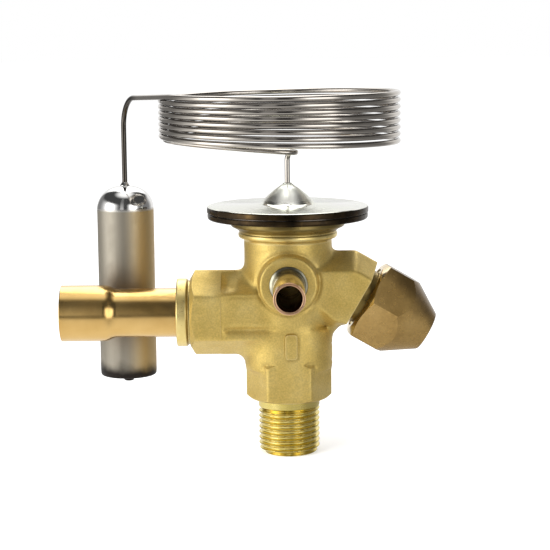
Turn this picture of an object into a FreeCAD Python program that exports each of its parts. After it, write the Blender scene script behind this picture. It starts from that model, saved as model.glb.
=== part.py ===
import FreeCAD, Part
import math
import os
from FreeCAD import Vector as V

# Thermostatic expansion valve, in millimetres.
# The origin is on the main axis, in the shoulder plane between the inlet thread and its hexagon.
# +Z runs up to the diaphragm element, -X to the outlet, -Y to the equalizer tube
# and +X to the setting spindle, which slopes down and outwards.

# Inlet thread and the hexagon above it
THREAD_R = 15.875 / 2
THREAD_LENGTH = 14.4
THREAD_END_CHAMFER_R = 1.0
THREAD_END_CHAMFER_Z = 2.2
HEX_AF = 19.5
HEX_TOP = 8.8
HEX_FACE_R = 9.85
HEX_CHAMFER_ANGLE = 30.0

# Forged body
WAIST_R = 9.95
WAIST_OFFSET = 1.4
WAIST_TOP = 19.0
SHOULDER_Z = 26.0
BODY_R = 11.3
BODY_CYLINDER_TOP = 41.2
BEAD_R = 12.65
BEAD_Z = 42.6
FLARE_R = 14.7
BODY_TOP = 46.8
PAD_WIDTH = 3.0
PAD_HEIGHT = 6.4
PAD_X = 0.6
PAD_Z = 14.8
PAD_PROUD = 0.35

# Outlet arm, along -X
OUTLET_Z = 22.45
OUTLET_HEX_END = 25.3
OUTLET_HEX_LENGTH = 8.0
COLLAR_R = 8.8
COLLAR_LENGTH = 3.5
COLLAR_MOUTH_GAP = 0.75
COLLAR_MOUTH_DEPTH = 1.6
ARM_FRONT_STEP = 0.45
ARM_GROOVE_Z = -3.2
ARM_GROOVE_R = 0.8
ARM_FILLET_UNDER = 2.6
ARM_FILLET_OVER = 1.6
ARM_FILLET_REACH = 6.5
ARM_FILLET_SINK = 0.05
POCKET_LENGTH = 3.8
POCKET_WIDTH = 7.0
POCKET_DEPTH = 0.5

# Outlet tube
TUBE_OD = 12.7
TUBE_WALL = 0.9
TUBE_DEPTH = 9.0
TUBE_END = 58.8
SOCKET_ID = 12.75
SOCKET_LENGTH = 12.0
SOCKET_STEP = 1.8
TUBE_CLEARANCE = 0.03

# Equalizer boss and tube, along -Y
EQ_Z = 31.2
EQ_BOSS_R = 7.4
EQ_BOSS_END = 13.3
EQ_BOSS_ROUND = 0.9
EQ_TUBE_OD = 7.9
EQ_TUBE_ID = 6.4
EQ_TUBE_END = 34.3
EQ_SOCKET_START = 9.9
EQ_PORT_R = 1.1
EQ_BRAZE_R = 4.9
EQ_BRAZE_PROUD = 0.7
EQ_GROOVE_WIDTH = 0.5
EQ_GROOVE_DEPTH = 0.35

# Setting spindle axis, and distances along it from the main axis
SPINDLE_TILT = 30.0
SPINDLE_CROSSING_Z = 37.5
ARM_END = 21.2
ARM_RIDGE_UP = 9.6
ARM_RIDGE_DOWN = 8.8
ARM_EDGE_UP = 5.6
ARM_EDGE_DOWN = 7.2
ARM_HALF_DEPTH = 9.5
ARM_TOP_Z = 38.4
ARM_TOP_EDGE_Z = 34.2
ARM_WEB_Z = 16.2
ARM_WEB_EDGE_X = 11.7
ARM_WEB_EDGE_Z = 21.4
ARM_INNER_EDGE_X = 2.0
ARM_INNER_EDGE_Z = 30.5
SPIGOT_END = 31.3
SPIGOT_NECK_R = 7.2
SPIGOT_NECK_LENGTH = 1.9

# Spindle cap
CAP_AF = 20.2
CAP_TURN = 3.5
CAP_FACE = 22.85
CAP_FACE_R = 9.15
CAP_CONE_START = 33.5
CAP_END = 41.2
CAP_END_R = 5.2
CAP_THREAD_CLEARANCE = 0.3
CAP_CAVITY_R = 4.6
CAP_CAVITY_END = 38.0
SEAL_THICKNESS = 0.6
SEAL_WIDTH = 2.5
SEAL_GAP = 0.05

# Setting spindle with its bevel pinion
JOURNAL_R = 3.0
JOURNAL_START = 8.9
JOURNAL_END = 20.4
SPINDLE_R = 2.2
SPINDLE_NECK_R = 1.7
SPINDLE_SQUARE = 3.2
SPINDLE_SQUARE_LENGTH = 4.0
SPINDLE_END = 36.5
RUN_CLEARANCE = 0.05
PACKING_R = 4.1
WASHER_THICKNESS = 0.6
PACKING_LENGTH = 2.5
GLAND_R = 5.3
GLAND_HEAD_SLOT = 1.2
GLAND_SLOT_DEPTH = 1.0

# Bevel gears: both pitch cones have their apex where the two axes cross
PINION_TEETH = 8
CROWN_TEETH = 16
PITCH_CONE_LENGTH = 7.7
FACE_START = 5.4
ADDENDUM = 0.40
DEDENDUM = 0.55
TOOTH_SHARE = 0.35
CROWN_FACE_START = 5.3
CROWN_FACE_END = 8.6
CROWN_R = 5.75
CROWN_FLOOR_GAP = 0.1
HUB_R = 2.6
HUB_TOP = 41.0

# Upper chamber and spring
CHAMBER_R = 8.6
ELEMENT_THREAD_R = 10.0
ELEMENT_THREAD_START = 43.0
SEAT_BOTTOM = 37.9
SEAT_THICKNESS = 1.6
SEAT_R = 8.2
SEAT_KEY_WIDTH = 2.0
SEAT_KEY_REACH = 0.9
KEYWAY_CLEARANCE = 0.3
SPRING_WIRE = 0.9
SPRING_MEAN_R = 5.9
SPRING_TURNS = 4.0
END_GAP = 0.05
SPRING_RUNS = 12
SPRING_SIDES = 8
SPRING_WIRE_RELIEF = 0.01

# Push pin, gland and thrust plate
PIN_R = 1.2
PIN_TIP_R = 0.75
PIN_TIP_START = 18.2
PIN_END = 14.6
PIN_CLEARANCE = 0.2
GLAND_BUSH_R = 2.6
GLAND_BUSH_START = 26.9
GLAND_BUSH_FLANGE_R = 3.6
GLAND_BUSH_FLANGE = 0.5
PIN_SEAL_R = 1.9
PIN_SEAL_Z = 28.3
PIN_SEAL_HEIGHT = 1.0
THRUST_R = 7.3
THRUST_THICKNESS = 1.6
THRUST_TOP = 48.0

# Diaphragm element
ELEMENT_R = 20.75
BASE_THICKNESS = 1.4
DIAPHRAGM_THICKNESS = 0.25
DIAPHRAGM_R = 19.8
COVER_THICKNESS = 1.65
COVER_RISE = 0.4
RIM_ROUND = 0.55
RECESS_R = 17.0
RECESS_DEPTH = 0.5
HUB_WALL = 1.9
TRUMPET_BASE_R = 7.0
TRUMPET_RISE = 5.2
TRUMPET_TOP_Z = 55.9
TRUMPET_TOP_R = 1.15

# Outlet chamber, inlet bore and the orifice set
OUTLET_CHAMBER_R = 5.4
OUTLET_CHAMBER_BOTTOM = 16.8
OUTLET_CHAMBER_TOP = 27.6
OUTLET_BORE_R = 5.1
CHAMBER_FLOOR = 29.8
INLET_BORE_R = 5.2
ORIFICE_SHOULDER = 13.6
NOSE_R = 3.6
NOSE_TOP = 17.3
ORIFICE_R = 1.1
ORIFICE_LENGTH = 2.6
ORIFICE_BOTTOM = 0.5
ORIFICE_CAVITY_R = 2.6
CONE_R = 1.9
CONE_TIP_R = 1.0
CONE_HEIGHT = 1.5
CONE_BODY = 1.3
CONE_SPIGOT_R = 0.9
CONE_SPIGOT = 1.2
CONE_SEAT_GAP = 0.08
CONE_WIRE = 0.45
CONE_SPRING_MEAN_R = 1.5
CONE_SPRING_TURNS = 5.0
RETAINER_BOTTOM = 1.6
RETAINER_THICKNESS = 1.2
RETAINER_HOLE_R = 0.6
RETAINER_HOLES = 4
STRAINER_R = 4.5
STRAINER_WALL = 0.4
STRAINER_TOP = -1.0
STRAINER_FLANGE_R = 6.0
STRAINER_FLANGE = 0.7
STRAINER_INSET = 2.0
STRAINER_SEAT = STRAINER_INSET - THREAD_LENGTH
STRAINER_SLOTS = 10
STRAINER_SLOT_WIDTH = 0.9

# Sensing bulb, behind the outlet tube
BULB_X = -43.0
BULB_Y = 15.6
BULB_R = 7.5
BULB_BOTTOM = 3.2
BULB_TOP = 54.1
BULB_DOME = 6.0
BULB_NUB_R = 1.4
BULB_NUB = 1.8
BULB_NECK_R = 1.3
BULB_NECK = 0.9

# Capillary tube: a coil of neat turns, wound left-handed from the stem to the bulb
CAPILLARY_R = 0.7
CAPILLARY_SIDES = 10
COIL_X = -1.9
COIL_R = 30.2
COIL_START_Z = 66.35
COIL_PITCH = 1.6
COIL_TURNS = 7.93
COIL_TILT_START = -0.55
COIL_TILT_GAIN = 0.125
COIL_RUNS_PER_TURN = 24
STEM_TOP = 64.0
STEM_BEND_R = 2.5
LEAD_HEADING = -60.0
LEAD_RUNS = 18
LEAD_PULL = 46.0
LEAD_JOIN = 0.04
LEAD_FALL = 1.1
DROP_BEND_R = 8.0
BEND_RUNS = 5
SOCKET_IN_TRUMPET = 1.6


def turned(*outline):
    """Solid of revolution about Z. Each item is an (r, z) point, or a pair of points:
    the point that an arc passes through and the arc's end."""
    edges = []
    here = outline[0]
    for item in list(outline[1:]) + [outline[0]]:
        if isinstance(item[0], tuple):
            through, end = item
            edges.append(Part.Arc(at(here), at(through), at(end)).toShape())
        else:
            end = item
            edges.append(Part.makeLine(at(here), at(end)))
        here = end
    return Part.Face(Part.Wire(edges)).revolve(V(0, 0, 0), V(0, 0, 1), 360)


def at(point):
    return V(point[0], 0, point[1])


def rod(radius, start, end):
    """Cylinder on the Z axis from z = start to z = end."""
    return Part.makeCylinder(radius, end - start, V(0, 0, start))


def ring(outer, inner, start, end):
    return rod(outer, start, end).cut(rod(inner, start - 1, end + 1))


def hex_bar(across_flats, start, end, turn=0.0):
    """Hexagonal bar on the Z axis, with a corner at the angle turn."""
    corner = across_flats / math.sqrt(3)
    points = []
    for k in range(7):
        angle = math.radians(60 * k + turn)
        points.append(V(corner * math.cos(angle), corner * math.sin(angle), start))
    return Part.Face(Part.makePolygon(points)).extrude(V(0, 0, end - start))


def to_outlet(shape):
    """Turns a shape built along +Z so that its axis runs along -X at the outlet's height."""
    moved = shape.copy()
    moved.rotate(V(0, 0, 0), V(0, 1, 0), -90)
    moved.translate(V(0, 0, OUTLET_Z))
    return moved


def to_equalizer(shape):
    """Turns a shape built along +Z so that its axis runs along -Y at the equalizer's height."""
    moved = shape.copy()
    moved.rotate(V(0, 0, 0), V(1, 0, 0), 90)
    moved.translate(V(0, 0, EQ_Z))
    return moved


def to_spindle(shape):
    """Turns a shape built along +Z so that its axis is the setting spindle's."""
    moved = shape.copy()
    moved.rotate(V(0, 0, 0), V(0, 1, 0), 90 + SPINDLE_TILT)
    moved.translate(V(0, 0, SPINDLE_CROSSING_Z))
    return moved


def spindle_point(along, above, y=0.0):
    """Point at a distance along the spindle axis and a height square to it."""
    tilt = math.radians(SPINDLE_TILT)
    x = along * math.cos(tilt) + above * math.sin(tilt)
    z = SPINDLE_CROSSING_Z - along * math.sin(tilt) + above * math.cos(tilt)
    return V(x, y, z)


def bent_wire(points, radius, sides):
    """Wire or small tube along straight runs that meet in mitred corners."""
    ahead = (points[1] - points[0]).normalize()
    side = ahead.cross(V(0, 0, 1))
    if side.Length < 1e-6:
        side = V(1, 0, 0)
    side.normalize()
    up = ahead.cross(side)
    rim = []
    for k in range(sides + 1):
        angle = 2 * math.pi * k / sides
        rim.append(points[0] + side * (radius * math.cos(angle)) + up * (radius * math.sin(angle)))
    sweep = Part.makePolygon(points).makePipeShell([Part.makePolygon(rim)], True, False, 1)
    return Part.Solid(sweep) if sweep.ShapeType == "Shell" else sweep


def coil_spring(mean_r, wire, start, end, turns):
    """Compression spring on the Z axis whose wire just fills start to end."""
    rise = end - start - wire
    points = []
    for k in range(int(turns * SPRING_RUNS) + 1):
        angle = 2 * math.pi * k / SPRING_RUNS
        height = start + wire / 2 + rise * k / (turns * SPRING_RUNS)
        points.append(V(mean_r * math.cos(angle), mean_r * math.sin(angle), height))
    return bent_wire(points, wire / 2 - SPRING_WIRE_RELIEF, SPRING_SIDES)


def inlet_end():
    """Thread blank and the milled hexagon with its turned lower corners."""
    thread = turned((0, -THREAD_LENGTH), (THREAD_R - THREAD_END_CHAMFER_R, -THREAD_LENGTH),
                    (THREAD_R, THREAD_END_CHAMFER_Z - THREAD_LENGTH), (THREAD_R, 0.5), (0, 0.5))
    corner = HEX_AF / math.sqrt(3) + 0.1
    fall = (corner - HEX_FACE_R) * math.tan(math.radians(HEX_CHAMFER_ANGLE))
    rise = (corner - WAIST_R) * math.tan(math.radians(50))
    blank = turned((0, 0), (HEX_FACE_R, 0), (corner, fall), (corner, HEX_TOP), (WAIST_R, HEX_TOP + rise),
                   (0, HEX_TOP + rise))
    return thread.fuse(hex_bar(HEX_AF, 0, HEX_TOP + rise).common(blank))


def main_forging():
    """Waist, shoulder, cylinder, bead and flare on the main axis."""
    round_part = turned((0, HEX_TOP - 1), (WAIST_R, HEX_TOP - 1), (WAIST_R, WAIST_TOP),
                        (BODY_R, SHOULDER_Z), (BODY_R, BODY_CYLINDER_TOP),
                        (BEAD_R - 0.4, BEAD_Z - 0.7), ((BEAD_R, BEAD_Z), (BEAD_R - 0.3, BEAD_Z + 0.6)),
                        ((BEAD_R + 0.25, BEAD_Z + 1.35), (FLARE_R, BEAD_Z + 2.0)),
                        (FLARE_R, BODY_TOP), (0, BODY_TOP))
    height = WAIST_TOP - HEX_TOP + 1
    for x in (-WAIST_OFFSET, WAIST_OFFSET):
        round_part = round_part.fuse(Part.makeCylinder(WAIST_R, height, V(x, 0, HEX_TOP - 1)))
    web = Part.makeBox(2 * WAIST_OFFSET, 2 * WAIST_R, height, V(-WAIST_OFFSET, -WAIST_R, HEX_TOP - 1))
    return round_part.fuse(web)


def outlet_arm():
    """Hexagonal outlet arm with its collar; behind the hexagon the faces step in."""
    corner = HEX_AF / math.sqrt(3)
    start = OUTLET_HEX_END - OUTLET_HEX_LENGTH
    bar = hex_bar(HEX_AF, 0, OUTLET_HEX_END)
    chamfer = (corner + 0.1 - COLLAR_R) * math.tan(math.radians(HEX_CHAMFER_ANGLE))
    bar = bar.common(turned((0, 0), (corner + 0.1, 0), (corner + 0.1, OUTLET_HEX_END - chamfer),
                            (COLLAR_R, OUTLET_HEX_END), (0, OUTLET_HEX_END)))
    collar = turned((0, 0), (COLLAR_R - 0.5, 0), (COLLAR_R - 0.5, OUTLET_HEX_END + 0.5),
                    (COLLAR_R, OUTLET_HEX_END + 1.0),
                    (COLLAR_R, OUTLET_HEX_END + COLLAR_LENGTH - 0.4),
                    (COLLAR_R - 0.4, OUTLET_HEX_END + COLLAR_LENGTH),
                    (0, OUTLET_HEX_END + COLLAR_LENGTH))
    arm = to_outlet(bar.fuse(collar))
    flat = HEX_AF / 2
    for side in (-1, 1):
        step = Part.makeBox(start, 2, corner, V(-start, -1, OUTLET_Z - corner / 2))
        step.translate(V(0, side * (flat - ARM_FRONT_STEP + 1), 0))
        groove = Part.makeCylinder(ARM_GROOVE_R, start, V(-start + 1.5, 0, 0), V(1, 0, 0))
        groove.translate(V(0, side * (flat - ARM_FRONT_STEP + 0.25), OUTLET_Z + ARM_GROOVE_Z))
        arm = arm.cut(step).cut(groove)
    return arm


def arm_pockets():
    """Shallow pockets in the two upper faces of the outlet arm, behind its hexagon."""
    start = OUTLET_HEX_END - OUTLET_HEX_LENGTH
    flat = HEX_AF / 2
    pockets = []
    for turn in (-60, 60):
        box = Part.makeBox(POCKET_LENGTH, 2, POCKET_WIDTH, V(-start, flat - POCKET_DEPTH, -POCKET_WIDTH / 2))
        box.rotate(V(0, 0, 0), V(1, 0, 0), turn if turn > 0 else turn + 180)
        box.translate(V(0, 0, OUTLET_Z))
        pockets.append(box)
    return pockets


def spindle_arm():
    """Forged elbow arm: level on top, then square to the spindle, with bevelled edges."""
    tilt = math.radians(SPINDLE_TILT)
    ridge_end = spindle_point(ARM_END, ARM_RIDGE_UP)
    back = (ARM_TOP_Z - ridge_end.z) / math.sin(tilt)
    ridge_bend = spindle_point(ARM_END - back, ARM_RIDGE_UP)
    low_end = spindle_point(ARM_END, -ARM_RIDGE_DOWN)
    middle = [V(0, 0, ARM_TOP_Z), ridge_bend, ridge_end, low_end,
              V(BODY_R, 0, ARM_WEB_Z), V(0, 0, ARM_WEB_Z)]
    edge_end = spindle_point(ARM_END, ARM_EDGE_UP)
    back = (ARM_TOP_EDGE_Z - edge_end.z) / math.sin(tilt)
    edge_bend = spindle_point(ARM_END - back, ARM_EDGE_UP)
    edge_low = spindle_point(ARM_END, -ARM_EDGE_DOWN)
    face = [V(0, 0, ARM_TOP_EDGE_Z), edge_bend, edge_end, edge_low,
            V(ARM_WEB_EDGE_X, 0, ARM_WEB_EDGE_Z), V(ARM_INNER_EDGE_X, 0, ARM_INNER_EDGE_Z)]
    halves = []
    for side in (-1, 1):
        outer = Part.makePolygon([V(p.x, side * ARM_HALF_DEPTH, p.z) for p in face + face[:1]])
        inner = Part.makePolygon(middle + middle[:1])
        halves.append(Part.makeLoft([inner, outer], True, True))
    return halves[0].fuse(halves[1])


def spigot():
    """Threaded spigot that carries the spindle cap, with its run-out neck."""
    neck_end = ARM_END + SPIGOT_NECK_LENGTH
    return turned((0, ARM_END - 4), (SPIGOT_NECK_R, ARM_END - 4), (SPIGOT_NECK_R, neck_end),
                  (THREAD_R, neck_end + 0.7), (THREAD_R, SPIGOT_END - 0.8),
                  (THREAD_R - 0.8, SPIGOT_END), (0, SPIGOT_END))


def equalizer_boss():
    outer = turned((0, 6), (EQ_BOSS_R, 6), (EQ_BOSS_R, EQ_BOSS_END - EQ_BOSS_ROUND),
                   ((EQ_BOSS_R - 0.3 * EQ_BOSS_ROUND, EQ_BOSS_END - 0.3 * EQ_BOSS_ROUND),
                    (EQ_BOSS_R - EQ_BOSS_ROUND, EQ_BOSS_END)), (0, EQ_BOSS_END))
    return to_equalizer(outer)


def equalizer_groove():
    """Shadow groove pressed into the forging round the equalizer boss."""
    depth = BODY_R - EQ_GROOVE_DEPTH
    return to_equalizer(ring(EQ_BOSS_R + EQ_GROOVE_WIDTH, EQ_BOSS_R, depth, depth + 3))


def forging_pad():
    pad = Part.makeBox(PAD_WIDTH, 4, PAD_HEIGHT,
                       V(PAD_X - PAD_WIDTH / 2, -WAIST_R - PAD_PROUD, PAD_Z - PAD_HEIGHT / 2))
    corners = [edge for edge in pad.Edges if abs(edge.tangentAt(edge.FirstParameter).y) > 0.9]
    return pad.makeFillet(0.9, corners)


def arm_fillet(radius, wall_offset, wall_r, down):
    """Rounded inner corner where the outlet arm meets the upright wall, which fades out to both sides.
    down is -1 above the arm and 1 under it."""
    steps = 6
    arc_steps = 5
    sections = []
    for k in range(-steps, steps + 1):
        y = ARM_FILLET_REACH * k / steps
        size = radius * (1 - 0.8 * (k / steps) ** 2)
        wall_x = ARM_FILLET_SINK - wall_offset - math.sqrt(wall_r ** 2 - y ** 2)
        drop = (HEX_AF - abs(y)) / math.sqrt(3) - ARM_FILLET_SINK
        face_z = OUTLET_Z - down * drop
        points = [V(wall_x + 2, y, face_z + down * 2)]
        for j in range(arc_steps + 1):
            angle = math.pi / 2 * j / arc_steps
            points.append(V(wall_x - size * (1 - math.sin(angle)), y,
                            face_z - down * size * (1 - math.cos(angle))))
        sections.append(Part.makePolygon(points + points[:1]))
    return Part.makeLoft(sections, True, True)


def body_bores():
    """Everything that is drilled, bored or tapped in the body."""
    inlet = rod(INLET_BORE_R, -THREAD_LENGTH - 1, ORIFICE_SHOULDER)
    strainer_seat = rod(STRAINER_FLANGE_R + 0.1, -THREAD_LENGTH - 1, STRAINER_SEAT)
    nose = rod(NOSE_R + RUN_CLEARANCE, ORIFICE_SHOULDER - 1, OUTLET_CHAMBER_BOTTOM + 1)
    outlet_chamber = rod(OUTLET_CHAMBER_R, OUTLET_CHAMBER_BOTTOM, OUTLET_CHAMBER_TOP)
    gland = rod(GLAND_BUSH_R + 0.05, OUTLET_CHAMBER_TOP - 1, CHAMBER_FLOOR + 1)
    gland_seat = rod(GLAND_BUSH_FLANGE_R + 0.1, CHAMBER_FLOOR - GLAND_BUSH_FLANGE, CHAMBER_FLOOR + 1)
    chamber = rod(CHAMBER_R, CHAMBER_FLOOR, BODY_TOP + 1)
    element_thread = rod(ELEMENT_THREAD_R, ELEMENT_THREAD_START, BODY_TOP + 1)
    keyway_width = SEAT_KEY_WIDTH + 2 * KEYWAY_CLEARANCE
    keyway_reach = SEAT_R + SEAT_KEY_REACH + KEYWAY_CLEARANCE
    keyway = Part.makeBox(keyway_width, keyway_reach, BODY_TOP - SEAT_BOTTOM + 2,
                          V(-keyway_width / 2, 0, SEAT_BOTTOM - 2))
    end = OUTLET_HEX_END + COLLAR_LENGTH
    tube_r = TUBE_OD / 2 + TUBE_CLEARANCE
    outlet = to_outlet(turned((0, 0), (OUTLET_BORE_R, 0), (OUTLET_BORE_R, end - TUBE_DEPTH),
                              (tube_r, end - TUBE_DEPTH), (tube_r, end - COLLAR_MOUTH_DEPTH),
                              (tube_r + COLLAR_MOUTH_GAP, end - COLLAR_MOUTH_DEPTH + 0.4),
                              (tube_r + COLLAR_MOUTH_GAP, end + 1), (0, end + 1)))
    eq_r = EQ_TUBE_OD / 2 + TUBE_CLEARANCE
    equalizer = to_equalizer(turned((0, CHAMBER_R - 1), (EQ_PORT_R, CHAMBER_R - 1),
                                    (EQ_PORT_R, EQ_SOCKET_START), (eq_r, EQ_SOCKET_START),
                                    (eq_r, EQ_BOSS_END - 0.9), (EQ_BRAZE_R, EQ_BOSS_END),
                                    (EQ_BRAZE_R, EQ_BOSS_END + 1), (0, EQ_BOSS_END + 1)))
    spindle = to_spindle(turned((0, 4), (JOURNAL_R + RUN_CLEARANCE, 4),
                                (JOURNAL_R + RUN_CLEARANCE, JOURNAL_END + 0.1),
                                (PACKING_R + RUN_CLEARANCE, JOURNAL_END + 0.1),
                                (PACKING_R + RUN_CLEARANCE, gland_start()),
                                (GLAND_R + RUN_CLEARANCE, gland_start()),
                                (GLAND_R + RUN_CLEARANCE, SPIGOT_END + 1), (0, SPIGOT_END + 1)))
    return [inlet, strainer_seat, nose, outlet_chamber, gland, gland_seat, chamber, element_thread,
            keyway, outlet, equalizer, spindle]


def gland_start():
    return JOURNAL_END + 0.1 + WASHER_THICKNESS + PACKING_LENGTH


def valve_body():
    body = main_forging().fuse([inlet_end(), outlet_arm(), spindle_arm(), equalizer_boss(), forging_pad(),
                                arm_fillet(ARM_FILLET_UNDER, WAIST_OFFSET, WAIST_R, 1),
                                arm_fillet(ARM_FILLET_OVER, 0, BODY_R, -1), to_spindle(spigot())])
    body = body.cut(arm_pockets() + [equalizer_groove()])
    body = body.fuse(equalizer_boss())
    return body.cut(body_bores()).removeSplitter()


def outlet_tube():
    """Drawn tube with a swaged socket at its free end."""
    start = OUTLET_HEX_END + COLLAR_LENGTH - TUBE_DEPTH
    od = TUBE_OD / 2
    bore = od - TUBE_WALL
    step_end = TUBE_END - SOCKET_LENGTH
    step = step_end - SOCKET_STEP
    socket = SOCKET_ID / 2
    return to_outlet(turned((bore, start), (od, start), (od, step), (socket + TUBE_WALL, step_end),
                            (socket + TUBE_WALL, TUBE_END), (socket, TUBE_END), (socket, step_end),
                            (bore, step)))


def equalizer_tube():
    return to_equalizer(ring(EQ_TUBE_OD / 2, EQ_TUBE_ID / 2, EQ_SOCKET_START, EQ_TUBE_END))


def equalizer_braze():
    """Ring of silver braze in the mouth of the boss, climbing a little up the tube."""
    tube_r = EQ_TUBE_OD / 2
    return to_equalizer(turned((tube_r, EQ_BOSS_END - 0.85), (EQ_BRAZE_R - 0.03, EQ_BOSS_END - 0.02),
                               ((EQ_BRAZE_R - 0.6, EQ_BOSS_END + 0.2),
                                (tube_r, EQ_BOSS_END + EQ_BRAZE_PROUD))))


def spindle_cap():
    """Hexagonal cap nut with a turned cone, closed at its outer end."""
    corner = CAP_AF / math.sqrt(3)
    slope = (CAP_AF / 2 - CAP_END_R) / (CAP_END - CAP_CONE_START)
    cone_at_corner = CAP_CONE_START - (corner + 0.1 - CAP_AF / 2) / slope
    chamfer = (corner + 0.1 - CAP_FACE_R) * math.tan(math.radians(HEX_CHAMFER_ANGLE))
    outside = turned((0, CAP_FACE), (CAP_FACE_R, CAP_FACE), (corner + 0.1, CAP_FACE + chamfer),
                     (corner + 0.1, cone_at_corner), (CAP_END_R, CAP_END), (0, CAP_END))
    thread_r = THREAD_R + CAP_THREAD_CLEARANCE
    shoulder = SPIGOT_END + SEAL_THICKNESS + 2 * SEAL_GAP
    inside = turned((0, CAP_FACE - 1), (thread_r, CAP_FACE - 1), (thread_r, shoulder),
                    (CAP_CAVITY_R, shoulder), (CAP_CAVITY_R, CAP_CAVITY_END - 2.0),
                    (CAP_CAVITY_R - 2.0, CAP_CAVITY_END), (0, CAP_CAVITY_END))
    return to_spindle(hex_bar(CAP_AF, CAP_FACE, CAP_END, 30 - CAP_TURN).common(outside).cut(inside))


def cap_seal():
    outer = THREAD_R - 0.1
    start = SPIGOT_END + SEAL_GAP
    return to_spindle(ring(outer, outer - SEAL_WIDTH, start, start + SEAL_THICKNESS))


def cone_angles():
    """Pitch cone half angles of pinion and crown wheel, for axes that cross at 60 degrees."""
    between = math.radians(90 - SPINDLE_TILT)
    share = PINION_TEETH / CROWN_TEETH
    pinion = math.atan2(share * math.sin(between), 1 + share * math.cos(between))
    return pinion, between - pinion


def bevel_teeth(count, half_angle, first, last, phase):
    """Straight bevel teeth about +Z, with their apex at the origin."""
    pitch = PITCH_CONE_LENGTH * math.sin(half_angle)
    height = PITCH_CONE_LENGTH * math.cos(half_angle)
    tip = pitch + ADDENDUM / math.cos(half_angle)
    root = pitch - 1.6 * DEDENDUM / math.cos(half_angle)
    half = TOOTH_SHARE * math.pi * pitch / count
    outline = [(root, 1.5 * half), (pitch, half), (tip, 0.7 * half),
               (tip, -0.7 * half), (pitch, -half), (root, -1.5 * half), (root, 1.5 * half)]
    ends = []
    for length in (first, last):
        scale = length / PITCH_CONE_LENGTH
        ends.append(Part.makePolygon([V(scale * r, scale * w, scale * height) for r, w in outline]))
    tooth = Part.makeLoft(ends, True, True)
    teeth = []
    for k in range(count):
        copy = tooth.copy()
        copy.rotate(V(0, 0, 0), V(0, 0, 1), (k + phase) * 360 / count)
        teeth.append(copy)
    return teeth


def root_cone(half_angle, first, last):
    pitch = math.sin(half_angle)
    height = math.cos(half_angle)
    drop = DEDENDUM / height / PITCH_CONE_LENGTH
    return (first * (pitch - drop), first * height), (last * (pitch - drop), last * height)


def setting_spindle():
    """Spindle with a bevel pinion inside the body and a square at its outer end."""
    pinion_angle = cone_angles()[0]
    small, large = root_cone(pinion_angle, FACE_START, PITCH_CONE_LENGTH)
    blank = turned((0, small[1]), small, large, (SPINDLE_NECK_R, large[1]),
                   (SPINDLE_NECK_R, JOURNAL_START), (JOURNAL_R, JOURNAL_START), (JOURNAL_R, JOURNAL_END),
                   (SPINDLE_R, JOURNAL_END), (SPINDLE_R, SPINDLE_END), (0, SPINDLE_END))
    teeth = bevel_teeth(PINION_TEETH, pinion_angle, FACE_START, PITCH_CONE_LENGTH, 0)
    spindle = blank.fuse(teeth)
    half = SPINDLE_SQUARE / 2
    start = SPINDLE_END - SPINDLE_SQUARE_LENGTH
    square = Part.makeBox(2 * half, 2 * half, SPINDLE_SQUARE_LENGTH + 1, V(-half, -half, start))
    spindle = spindle.cut(rod(SPINDLE_R + 1, start, SPINDLE_END + 1).cut(square))
    return to_spindle(spindle)


def spindle_washer():
    start = JOURNAL_END + 0.1
    return to_spindle(ring(PACKING_R, SPINDLE_R + RUN_CLEARANCE, start, start + WASHER_THICKNESS))


def spindle_packing():
    start = JOURNAL_END + 0.1 + WASHER_THICKNESS
    return to_spindle(ring(PACKING_R, SPINDLE_R + RUN_CLEARANCE, start, start + PACKING_LENGTH))


def spindle_gland_nut():
    """Slotted, threaded ring that presses the packing."""
    nut = ring(GLAND_R, SPINDLE_R + 0.15, gland_start(), SPIGOT_END)
    slot = Part.makeBox(4 * GLAND_R, GLAND_HEAD_SLOT, GLAND_SLOT_DEPTH + 1,
                        V(-2 * GLAND_R, -GLAND_HEAD_SLOT / 2, SPIGOT_END - GLAND_SLOT_DEPTH))
    return to_spindle(nut.cut(slot))


def adjusting_gear():
    """Crown wheel with a threaded hub; it turns on the chamber floor and lifts the spring seat."""
    crown_angle = cone_angles()[1]
    teeth = bevel_teeth(CROWN_TEETH, crown_angle, CROWN_FACE_START, CROWN_FACE_END, 0.5)
    small, large = root_cone(crown_angle, CROWN_FACE_START, CROWN_FACE_END)
    disc_top = CROWN_FACE_END * math.cos(crown_angle)
    bottom = SPINDLE_CROSSING_Z - CHAMBER_FLOOR - CROWN_FLOOR_GAP
    hub_top = SPINDLE_CROSSING_Z - HUB_TOP
    blank = turned((0, hub_top), (HUB_R, hub_top), (HUB_R, small[1]), small, large, (CROWN_R, disc_top),
                   (CROWN_R, bottom), (0, bottom))
    gear = blank.fuse(teeth)
    gear = gear.common(rod(CROWN_R, hub_top - 1, bottom + 1))
    gear = gear.cut(rod(PIN_R + PIN_CLEARANCE, hub_top - 1, bottom + 1))
    gear.rotate(V(0, 0, 0), V(1, 0, 0), 180)
    gear.translate(V(0, 0, SPINDLE_CROSSING_Z))
    return gear


def spring_seat():
    """Seat nut with a key that keeps it from turning in the chamber."""
    seat = rod(SEAT_R, SEAT_BOTTOM, SEAT_BOTTOM + SEAT_THICKNESS)
    key = Part.makeBox(SEAT_KEY_WIDTH, SEAT_R + SEAT_KEY_REACH, SEAT_THICKNESS,
                       V(-SEAT_KEY_WIDTH / 2, 0, SEAT_BOTTOM))
    bore = rod(HUB_R + RUN_CLEARANCE, SEAT_BOTTOM - 1, SEAT_BOTTOM + SEAT_THICKNESS + 1)
    return seat.fuse(key).cut(bore)


def superheat_spring():
    return coil_spring(SPRING_MEAN_R, SPRING_WIRE, SEAT_BOTTOM + SEAT_THICKNESS + END_GAP,
                       THRUST_TOP - THRUST_THICKNESS - END_GAP, SPRING_TURNS)


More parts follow.
